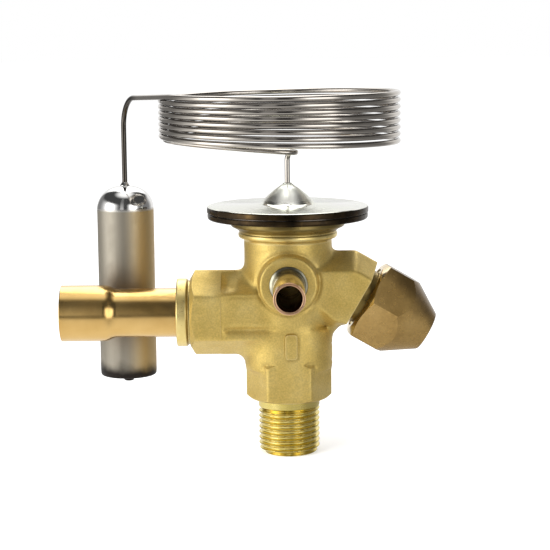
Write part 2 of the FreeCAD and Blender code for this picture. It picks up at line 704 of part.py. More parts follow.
def thrust_plate():
    bottom = THRUST_TOP - THRUST_THICKNESS
    return turned((0, bottom), (THRUST_R, bottom), (THRUST_R, THRUST_TOP - 0.5),
                  (THRUST_R - 0.5, THRUST_TOP), (0, THRUST_TOP))


def push_pin():
    top = THRUST_TOP - THRUST_THICKNESS
    return turned((0, PIN_END), (PIN_TIP_R, PIN_END), (PIN_TIP_R, PIN_TIP_START),
                  (PIN_R, PIN_TIP_START + 0.5), (PIN_R, top), (0, top))


def pin_gland():
    """Guide bush of the push pin, screwed into the floor of the spring chamber."""
    flange_bottom = CHAMBER_FLOOR - GLAND_BUSH_FLANGE
    bush = rod(GLAND_BUSH_R, GLAND_BUSH_START, flange_bottom)
    bush = bush.fuse(rod(GLAND_BUSH_FLANGE_R, flange_bottom, CHAMBER_FLOOR))
    bush = bush.cut(rod(PIN_R + RUN_CLEARANCE, GLAND_BUSH_START - 1, CHAMBER_FLOOR + 1))
    return bush.cut(rod(PIN_SEAL_R, PIN_SEAL_Z - PIN_SEAL_HEIGHT / 2, PIN_SEAL_Z + PIN_SEAL_HEIGHT / 2))


def pin_seal():
    half = PIN_SEAL_HEIGHT / 2
    return ring(PIN_SEAL_R, PIN_R + RUN_CLEARANCE, PIN_SEAL_Z - half, PIN_SEAL_Z + half)


def element_base():
    """Lower plate of the diaphragm capsule, with the threaded hub that screws into the body."""
    top = BODY_TOP + BASE_THICKNESS
    hub_r = ELEMENT_THREAD_R - RUN_CLEARANCE
    inner = hub_r - HUB_WALL
    outer = ELEMENT_R - 0.15
    return turned((inner, ELEMENT_THREAD_START + 0.1), (hub_r, ELEMENT_THREAD_START + 0.1),
                  (hub_r, BODY_TOP), (outer - RIM_ROUND, BODY_TOP),
                  ((outer, BODY_TOP + BASE_THICKNESS / 2), (outer - RIM_ROUND, top)),
                  (RECESS_R + 0.6, top), (RECESS_R, top - RECESS_DEPTH), (inner, top - RECESS_DEPTH))


def diaphragm():
    """Thin corrugated disc, welded between the two plates at its rim."""
    bottom = BODY_TOP + BASE_THICKNESS
    top = bottom + DIAPHRAGM_THICKNESS
    wave = 0.15
    return turned((0, bottom), (10, bottom), (12, bottom - wave), (14, bottom), (DIAPHRAGM_R, bottom),
                  (DIAPHRAGM_R, top), (14, top), (12, top - wave), (10, top), (0, top))


def element_cover():
    """Upper plate of the capsule, drawn up into the trumpet that takes the capillary tube."""
    bottom = BODY_TOP + BASE_THICKNESS + DIAPHRAGM_THICKNESS
    top = bottom + COVER_THICKNESS
    crown = top + COVER_RISE
    rise = TRUMPET_RISE
    hole = CAPILLARY_R + 0.02
    socket = TRUMPET_TOP_Z - SOCKET_IN_TRUMPET
    return turned((0.4, bottom + RECESS_DEPTH), (RECESS_R, bottom + RECESS_DEPTH), (RECESS_R + 0.6, bottom),
                  (ELEMENT_R - RIM_ROUND, bottom),
                  ((ELEMENT_R, bottom + COVER_THICKNESS / 2), (ELEMENT_R - RIM_ROUND, top)),
                  (TRUMPET_BASE_R + 0.8, crown),
                  ((TRUMPET_BASE_R, crown + 0.05 * rise), (0.9 * TRUMPET_BASE_R, crown + 0.19 * rise)),
                  ((0.7 * TRUMPET_BASE_R, crown + 0.47 * rise), (0.4 * TRUMPET_BASE_R, crown + 0.79 * rise)),
                  ((0.25 * TRUMPET_BASE_R, crown + 0.91 * rise), (TRUMPET_TOP_R, crown + rise)),
                  (TRUMPET_TOP_R, TRUMPET_TOP_Z), (hole, TRUMPET_TOP_Z), (hole, socket), (0.4, socket))


def orifice_body():
    """Cartridge with the valve seat; its shoulder seats against the step in the inlet bore."""
    seat = NOSE_TOP - ORIFICE_LENGTH
    outer = INLET_BORE_R - RUN_CLEARANCE
    return turned((ORIFICE_CAVITY_R, ORIFICE_BOTTOM), (outer, ORIFICE_BOTTOM), (outer, ORIFICE_SHOULDER),
                  (NOSE_R, ORIFICE_SHOULDER), (NOSE_R, NOSE_TOP), (ORIFICE_R, NOSE_TOP),
                  (ORIFICE_R, seat), (ORIFICE_CAVITY_R, seat - 0.9))


def valve_cone():
    top = PIN_END
    shoulder = top - CONE_HEIGHT
    bottom = shoulder - CONE_BODY
    return turned((0, top), (CONE_TIP_R - CONE_SEAT_GAP, top), (CONE_R, shoulder), (CONE_R, bottom),
                  (CONE_SPIGOT_R, bottom), (CONE_SPIGOT_R, bottom - CONE_SPIGOT), (0, bottom - CONE_SPIGOT))


def cone_spring():
    top = PIN_END - CONE_HEIGHT - CONE_BODY - END_GAP
    return coil_spring(CONE_SPRING_MEAN_R, CONE_WIRE, RETAINER_BOTTOM + RETAINER_THICKNESS + END_GAP, top,
                       CONE_SPRING_TURNS)


def spring_retainer():
    """Drilled disc pressed into the lower end of the orifice cartridge."""
    disc = rod(ORIFICE_CAVITY_R, RETAINER_BOTTOM, RETAINER_BOTTOM + RETAINER_THICKNESS)
    for k in range(RETAINER_HOLES):
        angle = 2 * math.pi * k / RETAINER_HOLES
        centre = V(1.55 * math.cos(angle), 1.55 * math.sin(angle), RETAINER_BOTTOM - 1)
        disc = disc.cut(Part.makeCylinder(RETAINER_HOLE_R, RETAINER_THICKNESS + 2, centre))
    return disc


def strainer():
    """Hat-shaped strainer whose flange is clamped by the inlet fitting."""
    flange_bottom = STRAINER_SEAT - STRAINER_FLANGE
    inner = STRAINER_R - STRAINER_WALL
    hat = turned((inner, flange_bottom), (STRAINER_FLANGE_R, flange_bottom),
                 (STRAINER_FLANGE_R, STRAINER_SEAT), (STRAINER_R, STRAINER_SEAT),
                 (STRAINER_R, STRAINER_TOP - 0.6),
                 (STRAINER_R - 0.6, STRAINER_TOP), (0, STRAINER_TOP), (0, STRAINER_TOP - STRAINER_WALL),
                 (inner, STRAINER_TOP - 0.6 - STRAINER_WALL))
    low = STRAINER_SEAT + 1.0
    high = STRAINER_TOP - 1.6
    for k in range(STRAINER_SLOTS):
        slot = Part.makeBox(2, STRAINER_SLOT_WIDTH, high - low,
                            V(STRAINER_R - 1.2, -STRAINER_SLOT_WIDTH / 2, low))
        slot.rotate(V(0, 0, 0), V(0, 0, 1), 360 * k / STRAINER_SLOTS)
        hat = hat.cut(slot)
    return hat


def sensing_bulb():
    """Sealed steel bulb: drawn dome with a neck on top, welded bottom with a filling nub."""
    dome_start = BULB_TOP - BULB_DOME
    nub_end = BULB_BOTTOM - BULB_NUB
    bulb = turned((0, nub_end), (BULB_NUB_R - 0.4, nub_end), (BULB_NUB_R, nub_end + 0.5),
                  (BULB_NUB_R, BULB_BOTTOM), (BULB_R - 0.7, BULB_BOTTOM), (BULB_R, BULB_BOTTOM + 0.7),
                  (BULB_R, dome_start),
                  ((BULB_R * 0.80, dome_start + BULB_DOME * 0.66), (BULB_NECK_R, BULB_TOP)),
                  (BULB_NECK_R, BULB_TOP + BULB_NECK), (0, BULB_TOP + BULB_NECK))
    bulb = bulb.cut(rod(CAPILLARY_R + 0.02, BULB_TOP - 0.6, BULB_TOP + BULB_NECK + 1))
    bulb.translate(V(BULB_X, BULB_Y, 0))
    return bulb


def coil_point(turns):
    """Point of the coil after a number of turns, counted from its left end."""
    angle = math.pi - 2 * math.pi * turns
    tilt = COIL_TILT_START + COIL_TILT_GAIN * turns
    height = COIL_START_Z + COIL_PITCH * turns - tilt * math.cos(2 * math.pi * turns)
    return V(COIL_X + COIL_R * math.cos(angle), COIL_R * math.sin(angle), height)


def capillary_points():
    """Stem, lead, coil, upper lead and drop as one row of points."""
    points = [V(0, 0, TRUMPET_TOP_Z - SOCKET_IN_TRUMPET)]
    heading = math.radians(LEAD_HEADING)
    ahead = V(math.cos(heading), math.sin(heading), 0)
    for k in range(BEND_RUNS + 1):
        turn = math.pi / 2 * k / BEND_RUNS
        points.append(ahead * (STEM_BEND_R * (1 - math.cos(turn)))
                      + V(0, 0, STEM_TOP - STEM_BEND_R + STEM_BEND_R * math.sin(turn)))
    start = points[-1]
    end = coil_point(LEAD_JOIN)
    leaving = (coil_point(LEAD_JOIN + 0.01) - coil_point(LEAD_JOIN)).normalize()
    for k in range(1, LEAD_RUNS):
        t = k / LEAD_RUNS
        points.append(start * (2 * t ** 3 - 3 * t ** 2 + 1) + ahead * (LEAD_PULL * (t ** 3 - 2 * t ** 2 + t))
                      + end * (3 * t ** 2 - 2 * t ** 3) + leaving * (LEAD_PULL * (t ** 3 - t ** 2)))
    count = int(COIL_RUNS_PER_TURN * (COIL_TURNS - LEAD_JOIN))
    for k in range(count + 1):
        points.append(coil_point(LEAD_JOIN + (COIL_TURNS - LEAD_JOIN) * k / count))
    return points + drop_points(points[-1])


def drop_points(leave):
    """From the end of the coil straight to above the bulb, then round and down into it."""
    top = leave.z - LEAD_FALL
    flat = V(BULB_X - leave.x, BULB_Y - leave.y, 0)
    ahead = V(flat.x, flat.y, 0).normalize()
    corner = V(BULB_X, BULB_Y, top)
    points = []
    for k in range(BEND_RUNS + 3):
        turn = math.pi / 2 * k / (BEND_RUNS + 2)
        points.append(corner - ahead * (DROP_BEND_R * (1 - math.sin(turn)))
                      - V(0, 0, DROP_BEND_R * (1 - math.cos(turn))))
    points.append(V(BULB_X, BULB_Y, BULB_TOP - 0.5))
    return points


def capillary_tube():
    return bent_wire(capillary_points(), CAPILLARY_R, CAPILLARY_SIDES)


PARTS = [valve_body, outlet_tube, equalizer_tube, equalizer_braze, spindle_cap, cap_seal, setting_spindle,
         spindle_washer, spindle_packing, spindle_gland_nut, adjusting_gear, spring_seat, superheat_spring,
         thrust_plate, push_pin, pin_gland, pin_seal, element_base, diaphragm, element_cover, orifice_body,
         valve_cone, cone_spring, spring_retainer, strainer, sensing_bulb, capillary_tube]

os.makedirs("parts", exist_ok=True)
for make in PARTS:
    shape = make()
    shape.exportStep("parts/" + make.__name__ + ".step")
    print(make.__name__, shape.ShapeType, len(shape.Solids), shape.isValid(), round(shape.Volume, 1))
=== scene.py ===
import bpy
import numpy as np
from math import cos, hypot, pi, radians, sin, sqrt, tan
from mathutils import Matrix, Vector


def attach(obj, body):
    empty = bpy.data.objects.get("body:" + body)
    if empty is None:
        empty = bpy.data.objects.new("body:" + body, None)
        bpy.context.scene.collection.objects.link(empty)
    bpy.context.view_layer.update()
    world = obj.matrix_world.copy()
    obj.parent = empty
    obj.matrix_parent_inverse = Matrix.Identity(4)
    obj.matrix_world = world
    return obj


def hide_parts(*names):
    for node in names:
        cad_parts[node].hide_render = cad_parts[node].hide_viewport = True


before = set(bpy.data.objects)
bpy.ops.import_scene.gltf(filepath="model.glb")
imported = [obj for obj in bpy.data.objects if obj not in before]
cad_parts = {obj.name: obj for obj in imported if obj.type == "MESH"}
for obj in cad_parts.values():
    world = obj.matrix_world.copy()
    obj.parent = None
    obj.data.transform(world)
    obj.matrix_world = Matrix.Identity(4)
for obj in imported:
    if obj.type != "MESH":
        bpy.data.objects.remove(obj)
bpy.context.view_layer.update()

# Lengths below are in millimetres, in the row frame, and MM turns them into metres
MM = 0.001
PX_PER_MM = 3.87
IMAGE_SIZE = 550

# Main axis
THREAD_R = 15.875 / 2
THREAD_LENGTH = 14.4
THREAD_PITCH = 1.411
THREAD_DEPTH = 0.78
THREAD_BAND = 1.9
INLET_BORE_R = 5.2
STRAINER_BORE_R = 6.1
STRAINER_SEAT = -12.4
HEX_AF = 19.5
HEX_FACE_R = 9.85
HEX_TOP = 8.8
WAIST_R = 9.95
PAD_WIDTH = 3.0
PAD_HEIGHT = 6.4
PAD_X = 0.6
PAD_Z = 14.8
PAD_PROUD = 0.35
RIM_START = 41.2
BODY_R = 11.3
BEAD_R = 12.65
BEAD_Z = 42.6
FLARE_R = 14.7
BODY_TOP = 46.8
CHAMBER_R = 8.6
CHAMBER_FLOOR = 29.8
ELEMENT_THREAD_R = 10.0
ELEMENT_THREAD_START = 43.0

# Inner bores of the main axis
ORIFICE_SHOULDER = 13.6
NOSE_BORE_R = 3.65
OUTLET_CHAMBER_R = 5.4
OUTLET_CHAMBER_BOTTOM = 16.8
OUTLET_CHAMBER_TOP = 27.6
GLAND_BUSH_BORE_R = 2.65
GLAND_BUSH_SEAT_R = 3.7
GLAND_BUSH_SEAT = 29.3
KEYWAY_HALF_WIDTH = 1.3
KEYWAY_REACH = 9.4
KEYWAY_BOTTOM = 35.9

# Outlet arm, along -X
OUTLET_Z = 22.45
OUTLET_HEX_START = 17.3
OUTLET_HEX_END = 25.3
OUTLET_BORE_R = 5.1
COLLAR_R = 8.8
COLLAR_LENGTH = 3.5
COLLAR_MOUTH_GAP = 0.75
COLLAR_MOUTH_DEPTH = 1.6
TUBE_R = 6.35
TUBE_WALL = 0.9
TUBE_CLEARANCE = 0.03
TUBE_START = 19.8
TUBE_END = 58.8
SOCKET_BORE_R = 6.375
SOCKET_R = SOCKET_BORE_R + TUBE_WALL
SOCKET_LENGTH = 12.0
SOCKET_STEP = 1.8

# Equalizer, along -Y
EQ_Z = 31.2
EQ_BOSS_R = 7.4
EQ_BOSS_END = 13.3
EQ_TUBE_R = 3.95
EQ_TUBE_INNER_R = 3.2
EQ_TUBE_START = 9.9
EQ_TUBE_END = 34.3
EQ_BRAZE_START = 12.4
EQ_BRAZE_R = 4.9
EQ_PORT_START = 7.6
EQ_PORT_R = 1.1

# Setting spindle axis
SPINDLE_TILT = 30.0
SPINDLE_Z = 37.5
ARM_END = 21.2
ARM_RIDGE_UP = 9.6
ARM_RIDGE_DOWN = 8.8
ARM_EDGE_UP = 5.6
ARM_EDGE_DOWN = 7.2
ARM_HALF_DEPTH = 9.5
SPIGOT_END = 31.3
SPIGOT_NECK_R = 7.2
SPIGOT_NECK_LENGTH = 1.9
GLAND_R = 5.35
GLAND_START = 23.6
PACKING_R = 4.15
JOURNAL_R = 3.05
JOURNAL_END = 20.5
CAP_AF = 20.2
CAP_TURN = 3.5
CAP_FACE = 22.85
CAP_FACE_R = 9.15
CAP_BEVEL = 1.45
CAP_CONE_START = 33.5
CAP_END = 41.2
CAP_END_R = 5.2
CAP_CAVITY_R = 4.6
CAP_CAVITY_END = 38.0
CAP_THREAD_R = 8.24
CAP_SHOULDER = 32.0

# Diaphragm element
ELEMENT_R = 20.75
PLATE_JOIN = 48.2
COVER_BOTTOM = 48.45
COVER_TOP = 50.1
COVER_RISE = 0.4
TRUMPET_BASE_R = 7.0
TRUMPET_TOP_Z = 55.9
TRUMPET_TOP_R = 1.15
TRUMPET_SOCKET = 1.6
TRUMPET_FLOOR_R = 0.4
RECESS_R = 17.0
RECESS_DEPTH = 0.5
HUB_WALL = 1.9

# Sensing bulb
BULB_X = -43.0
BULB_Y = 15.6
BULB_R = 7.5
BULB_BOTTOM = 3.2
BULB_TOP = 54.1
BULB_DOME = 6.0
BULB_DOME_POWER = 0.85
BULB_DOME_STEPS = 16
BULB_NUB_R = 1.4
BULB_NUB = 1.8
BULB_NECK_R = 1.3
BULB_NECK = 0.9

# Capillary tube: stem, lead, coil, upper lead and drop
CAPILLARY_R = 0.69
COIL_X = -1.9
COIL_R = 30.2
COIL_START_Z = 66.35
COIL_PITCH = 1.6
COIL_TURNS = 7.93
COIL_TILT_START = -0.55
COIL_TILT_GAIN = 0.125
STEM_TOP = 64.0
STEM_BEND_R = 2.5
LEAD_HEADING = -60.0
LEAD_PULL = 46.0
LEAD_JOIN = 0.04
LEAD_FALL = 1.1
DROP_BEND_R = 8.0
STEM_BEND_STEPS = 10
LEAD_STEPS = 48
COIL_STEPS = 96
DROP_BEND_STEPS = 18

# Points nearer to an axis than this lie on it
ON_AXIS = 1e-6
SEGMENTS = 144
PLATE_SEGMENTS = 180
AXIS_MAIN = Matrix.Identity(4)
AXIS_OUTLET = Matrix.Translation((0, 0, OUTLET_Z)) @ Matrix.Rotation(radians(-90), 4, "Y")
AXIS_EQUALIZER = Matrix.Translation((0, 0, EQ_Z)) @ Matrix.Rotation(radians(90), 4, "X")
AXIS_SPINDLE = (Matrix.Translation((0, 0, SPINDLE_Z))
                @ Matrix.Rotation(radians(90 + SPINDLE_TILT), 4, "Y"))
AXIS_BULB = Matrix.Translation((BULB_X, BULB_Y, 0))
AXIS_FRONT = Matrix.Rotation(radians(90), 4, "X")


# Mesh helpers

def eased(outline, radius, steps=4, turned=True):
    """Outline with its corners rounded. A third number on a point is its own radius.
    In a turned outline of (r, z) points, those on the axis stay sharp."""
    result = []
    count = len(outline)
    for k, point in enumerate(outline):
        here = Vector(point[:2])
        reach = point[2] if len(point) > 2 else radius
        if (turned and here.x < ON_AXIS) or reach == 0:
            result.append(tuple(here))
            continue
        before = Vector(outline[k - 1][:2]) - here
        after = Vector(outline[(k + 1) % count][:2]) - here
        reach = min(reach, 0.45 * before.length, 0.45 * after.length)
        first = here + before.normalized() * reach
        last = here + after.normalized() * reach
        for step in range(steps + 1):
            t = step / steps
            result.append(tuple(first * (1 - t) ** 2 + here * (2 * t * (1 - t)) + last * t ** 2))
    return result


def outward(mesh):
    """Turns the faces so that the mesh's signed volume is positive."""
    total = 0.0
    for polygon in mesh.polygons:
        points = [mesh.vertices[i].co for i in polygon.vertices]
        for k in range(1, len(points) - 1):
            total += points[0].dot(points[k].cross(points[k + 1]))
    if total < 0:
        mesh.flip_normals()


def closed_mesh(vertices, faces):
    mesh = bpy.data.meshes.new("shape")
    mesh.from_pydata([tuple(v) for v in vertices], [], faces)
    mesh.validate()
    mesh.update()
    outward(mesh)
    return mesh


def circle(r, z, count, axis):
    """Points of a circle round an axis, at z along it."""
    angles = [2 * pi * k / count for k in range(count)]
    return [axis @ Vector((r * cos(angle), r * sin(angle), z)) for angle in angles]


def skin(rings):
    """Faces from each ring of vertex numbers to the next. A ring on the axis repeats one number."""
    faces = []
    for ring, other in zip(rings, rings[1:]):
        for i in range(len(ring)):
            j = (i + 1) % len(ring)
            corners = list(dict.fromkeys((ring[i], ring[j], other[j], other[i])))
            if len(corners) > 2:
                faces.append(corners)
    return faces


def revolved(outline, axis=AXIS_MAIN, segments=SEGMENTS):
    """Closed mesh of the outline turned about an axis, in millimetres."""
    vertices = []
    rings = []
    for r, z in outline:
        first = len(vertices)
        if r < ON_AXIS:
            vertices.append(axis @ Vector((0, 0, z)))
            rings.append([first] * segments)
        else:
            vertices += circle(r, z, segments, axis)
            rings.append(list(range(first, first + segments)))
    return closed_mesh(vertices, skin(rings + rings[:1]))


def prism(outline, start, end, axis=AXIS_MAIN):
    """Straight prism of an (x, y) outline from start to end along an axis."""
    count = len(outline)
    vertices = [axis @ Vector((x, y, z)) for z in (start, end) for x, y in outline]
    faces = [list(range(count)), list(range(2 * count - 1, count - 1, -1))]
    for k in range(count):
        j = (k + 1) % count
        faces.append([k, k + count, j + count, j])
    return closed_mesh(vertices, faces)


def block(low, high, axis=AXIS_MAIN):
    corners = [(low[0], low[1]), (high[0], low[1]), (high[0], high[1]), (low[0], high[1])]
    return prism(corners, low[2], high[2], axis)


def hexagon(across_flats, turn, corner_r):
    """Hexagon outline with rounded corners."""
    outer = across_flats / sqrt(3)
    angles = [radians(60 * k + turn) for k in range(6)]
    return eased([(outer * cos(angle), outer * sin(angle)) for angle in angles], corner_r,
                 turned=False)


def placed(name, data):
    """New object of a mesh, lamp or camera in the scene."""
    obj = bpy.data.objects.new(name, data)
    bpy.context.scene.collection.objects.link(obj)
    return obj


def temporary(mesh):
    return placed("temporary", mesh)


def applied(obj):
    """Mesh of a temporary object with its modifiers; the object is removed."""
    bpy.context.view_layer.update()
    graph = bpy.context.evaluated_depsgraph_get()
    mesh = bpy.data.meshes.new_from_object(obj.evaluated_get(graph))
    bpy.data.objects.remove(obj)
    return mesh


def combined(mesh, tools, operation):
    """Boolean of a mesh with a list of tool meshes."""
    for tool in tools:
        base = temporary(mesh)
        cutter = temporary(tool)
        modifier = base.modifiers.new("cut", "BOOLEAN")
        modifier.operation = operation
        modifier.solver = "MANIFOLD"
        modifier.object = cutter
        mesh = applied(base)
        bpy.data.objects.remove(cutter)
    return mesh


def piece(name, mesh, material, node, body="valve", sharp=32):
    """Finished piece from a mesh in millimetres, in place of a node's solid."""
    mesh.transform(Matrix.Scale(MM, 4))
    mesh.name = name
    mesh.shade_smooth()
    mesh.set_sharp_from_angle(angle=radians(sharp))
    mesh.materials.clear()
    mesh.materials.append(material)
    obj = placed(name, mesh)
    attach(obj, body)
    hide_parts(node)
    return obj


# Materials

class Nodes:
    """Short calls that add shader nodes to one material or world."""

    def __init__(self, owner):
        self.owner = owner
        self.tree = owner.node_tree
        self.shader = self.tree.nodes.get("Principled BSDF")
        self.place = self.add("ShaderNodeTexCoord")

    def add(self, kind, **settings):
        node = self.tree.nodes.new(kind)
        for key, value in settings.items():
            setattr(node, key, value)
        return node

    def link(self, source, target):
        self.tree.links.new(source, target)

    def preset(self, name, value):
        """Plain value of one of the shader's sockets."""
        self.shader.inputs[name].default_value = value

    def feed(self, name, source):
        """Links a source to one of the shader's sockets."""
        self.link(source, self.shader.inputs[name])

    def stretched(self, scale):
        """Object coordinates, squeezed along each axis."""
        node = self.add("ShaderNodeMapping")
        node.inputs["Scale"].default_value = scale
        self.link(self.place.outputs["Object"], node.inputs["Vector"])
        return node.outputs["Vector"]

    def noise(self, scale, detail=4.0, vector=None):
        node = self.add("ShaderNodeTexNoise")
        node.inputs["Scale"].default_value = scale
        node.inputs["Detail"].default_value = detail
        self.link(vector or self.place.outputs["Object"], node.inputs["Vector"])
        return node.outputs["Fac"]

    def ramp(self, value, stops):
        node = self.add("ShaderNodeValToRGB")
        elements = node.color_ramp.elements
        while len(elements) < len(stops):
            elements.new(0.5)
        for element, (position, color) in zip(elements, stops):
            element.position = position
            element.color = (*color, 1)
        self.link(value, node.inputs["Fac"])
        return node.outputs["Color"]

    def between(self, value, low, high, new_low, new_high, smooth=False):
        node = self.add("ShaderNodeMapRange")
        if smooth:
            node.interpolation_type = "SMOOTHSTEP"
        for key, number in zip(("From Min", "From Max", "To Min", "To Max"), (low, high, new_low, new_high)):
            node.inputs[key].default_value = number
        self.link(value, node.inputs["Value"])
        return node.outputs["Result"]

    def uneven(self, scale, detail, low, high):
        """Noise that mostly runs from low to high."""
        return self.between(self.noise(scale, detail), 0.3, 0.7, low, high)

    def two_tone(self, noise, dark, light):
        return self.ramp(noise, [(0.3, dark), (0.7, light)])

    def math(self, operation, first, second=0.0):
        node = self.add("ShaderNodeMath", operation=operation)
        for socket, value in zip(node.inputs, (first, second)):
            if isinstance(value, (int, float)):
                socket.default_value = value
            else:
                self.link(value, socket)
        return node.outputs["Value"]

    def times(self, first, second):
        return self.math("MULTIPLY", first, second)

    def plus(self, first, second):
        return self.math("ADD", first, second)

    def mixed(self, factor, first, second):
        """Mix of two colours or colour sockets. The node's own colour sockets are taken by number,
        because they share their names with others."""
        node = self.add("ShaderNodeMix", data_type="RGBA")
        self.link(factor, node.inputs["Factor"])
        for socket, value in ((node.inputs[6], first), (node.inputs[7], second)):
            if isinstance(value, tuple):
                socket.default_value = (*value, 1)
            else:
                self.link(value, socket)
        return node.outputs[2]

    def bump(self, height, distance, strength):
        """Bumps the surface of the shader."""
        node = self.add("ShaderNodeBump")
        node.inputs["Strength"].default_value = strength
        node.inputs["Distance"].default_value = distance
        self.link(height, node.inputs["Height"])
        self.feed("Normal", node.outputs["Normal"])

    def scaled(self, color, factor):
        """A colour times a number."""
        node = self.add("ShaderNodeVectorMath", operation="SCALE")
        self.link(color, node.inputs[0])
        self.link(factor, node.inputs["Scale"])
        return node.outputs["Vector"]

    def closeness(self, distance, inside=False):
        """Open share of what lies round a point: low in hollows, or with inside, low along edges."""
        node = self.add("ShaderNodeAmbientOcclusion", samples=8, inside=inside, only_local=inside)
        node.inputs["Distance"].default_value = distance
        return node.outputs["AO"]

    def axis_value(self, axis, vector=None):
        node = self.add("ShaderNodeSeparateXYZ")
        self.link(vector or self.place.outputs["Object"], node.inputs["Vector"])
        return node.outputs[axis]


def start_material(name, color, metallic, roughness):
    """Node calls for a new material with these plain values."""
    material = bpy.data.materials.new(name)
    material.use_nodes = True
    n = Nodes(material)
    n.preset("Base Color", (*color, 1))
    n.preset("Metallic", metallic)
    n.preset("Roughness", roughness)
    return n


def forged_brass():
    """Blasted brass, with painted shade in the hollows and a painted highlight along the edges."""
    n = start_material("forged_brass", (0.62, 0.45, 0.14), 0.7, 0.42)
    color = n.ramp(n.noise(150, 5), [(0.30, (0.57, 0.405, 0.105)), (0.52, (0.635, 0.465, 0.137)),
                                     (0.75, (0.69, 0.53, 0.19))])
    color = n.scaled(color, n.uneven(2400, 2, 0.88, 1.12))
    # painted shade in the hollows, darkest where little of the surroundings is open
    hollow_shade = n.between(n.closeness(3 * MM), 0.40, 0.92, 0.75, 0.0, True)
    # painted highlight along the convex edges
    edge = n.between(n.closeness(0.6 * MM, True), 0.50, 0.85, 0.45, 0.0, True)
    color = n.mixed(hollow_shade, color, (0.32, 0.21, 0.045))
    color = n.mixed(edge, color, (0.85, 0.70, 0.36))
    n.feed("Base Color", color)
    n.feed("Roughness", n.uneven(420, 3, 0.38, 0.50))
    grain = n.plus(n.noise(3000, 2), n.noise(900, 3))
    n.bump(grain, 0.00005, 0.7)
    return n.owner


def satin_brass():
    """Turned surfaces of the forging that were blasted with it, with painted shade in the hollows and on the
    flare under the element.
    """
    n = start_material("satin_brass", (0.72, 0.55, 0.19), 0.85, 0.30)
    color = n.two_tone(n.noise(240, 4), (0.76, 0.58, 0.20), (0.88, 0.71, 0.30))
    # painted shade in the hollows, wide enough to reach under the element
    hollow_shade = n.between(n.closeness(6 * MM), 0.35, 0.85, 0.92, 0.0, True)
    color = n.mixed(hollow_shade, color, (0.20, 0.13, 0.03))
    # painted shade on the flare above the bead, under the element's overhang
    under = n.between(n.axis_value("Z"), (BEAD_Z + 0.8) * MM, (BEAD_Z + 1.4) * MM, 0.0, 0.85)
    n.feed("Base Color", n.mixed(under, color, (0.15, 0.105, 0.03)))
    n.feed("Roughness", n.uneven(600, 3, 0.26, 0.40))
    n.bump(n.noise(1600, 3), 0.00003, 0.4)
    return n.owner


def turned_brass():
    n = start_material("turned_brass", (0.80, 0.65, 0.21), 1.0, 0.2)
    n.feed("Base Color", n.two_tone(n.noise(200, 4), (0.76, 0.60, 0.16), (0.84, 0.70, 0.27)))
    n.feed("Roughness", n.uneven(900, 3, 0.16, 0.27))
    lines = n.noise(600, 2, n.stretched((1, 1, 14)))
    n.bump(lines, 0.00002, 0.35)
    return n.owner


# The cap darkens towards its upper outer side, as z plus a lean times x grows
CAP_DARKENING_LEAN = 1.3
CAP_DARKENING_START = 63.0
CAP_DARKENING_END = 71.0


def cap_brass():
    """Brown tarnished brass with a painted highlight along its edges, darker towards its upper outer side.
    """
    n = start_material("cap_brass", (0.46, 0.31, 0.14), 0.7, 0.26)
    color = n.ramp(n.noise(160, 5), [(0.3, (0.42, 0.26, 0.08)), (0.55, (0.50, 0.32, 0.105)),
                                     (0.8, (0.57, 0.375, 0.135))])
    color = n.scaled(color, n.uneven(1800, 2, 0.90, 1.10))
    # darker towards the cap's upper outer side
    across = n.plus(n.axis_value("Z"), n.times(n.axis_value("X"), CAP_DARKENING_LEAN))
    wave = n.times(n.uneven(180, 3, -1.0, 1.0), 1.5 * MM)
    darkening = n.between(n.plus(across, wave), CAP_DARKENING_START * MM, CAP_DARKENING_END * MM, 0.0, 0.85, True)
    color = n.mixed(darkening, color, (0.09, 0.055, 0.02))
    # painted highlight along the edges
    edge = n.between(n.closeness(0.5 * MM, True), 0.55, 0.9, 0.5, 0.0, True)
    n.feed("Base Color", n.mixed(edge, color, (0.72, 0.53, 0.29)))
    n.feed("Roughness", n.uneven(500, 4, 0.19, 0.30))
    n.bump(n.noise(1500, 3), 0.00002, 0.3)
    return n.owner


def copper(name, dark, light, roughness):
    n = start_material(name, light, 1.0, roughness)
    n.preset("Coat Weight", 0.4)
    n.preset("Coat Roughness", 0.12)
    n.feed("Base Color", n.two_tone(n.noise(110, 5), dark, light))
    n.feed("Roughness", n.uneven(450, 4, roughness * 0.8, roughness * 1.3))
    drawn = n.noise(900, 2, n.stretched((0.08, 1, 1)))
    n.bump(drawn, 0.00002, 0.3)
    return n.owner


def silver_braze():
    n = start_material("silver_braze", (0.72, 0.70, 0.58), 1.0, 0.28)
    n.feed("Base Color", n.two_tone(n.noise(500, 4), (0.34, 0.32, 0.23), (0.54, 0.52, 0.40)))
    n.bump(n.noise(700, 3), 0.00008, 0.5)
    return n.owner


def plate_steel():
    """Bright plated steel with the faint colours of a thin oxide film."""
    n = start_material("plate_steel", (0.78, 0.80, 0.79), 1.0, 0.14)
    film = n.ramp(n.noise(45, 2), [(0.25, (0.72, 0.80, 0.70)), (0.5, (0.80, 0.81, 0.71)),
                                   (0.75, (0.78, 0.76, 0.74))])
    n.feed("Base Color", film)
    drawn_up = n.between(n.axis_value("Z"), (COVER_TOP + 0.8) * MM, (COVER_TOP + 1.6) * MM, 0.0, 0.17)
    rough = n.plus(n.uneven(700, 3, 0.11, 0.2), drawn_up)
    n.feed("Roughness", rough)
    return n.owner


def dark_steel():
    n = start_material("dark_steel", (0.07, 0.045, 0.035), 0.85, 0.3)
    burnt = n.ramp(n.noise(260, 5), [(0.3, (0.011, 0.007, 0.003)), (0.6, (0.042, 0.025, 0.009)),
                                     (0.8, (0.15, 0.09, 0.03))])
    n.feed("Base Color", burnt)
    n.feed("Roughness", n.uneven(600, 3, 0.24, 0.4))
    return n.owner


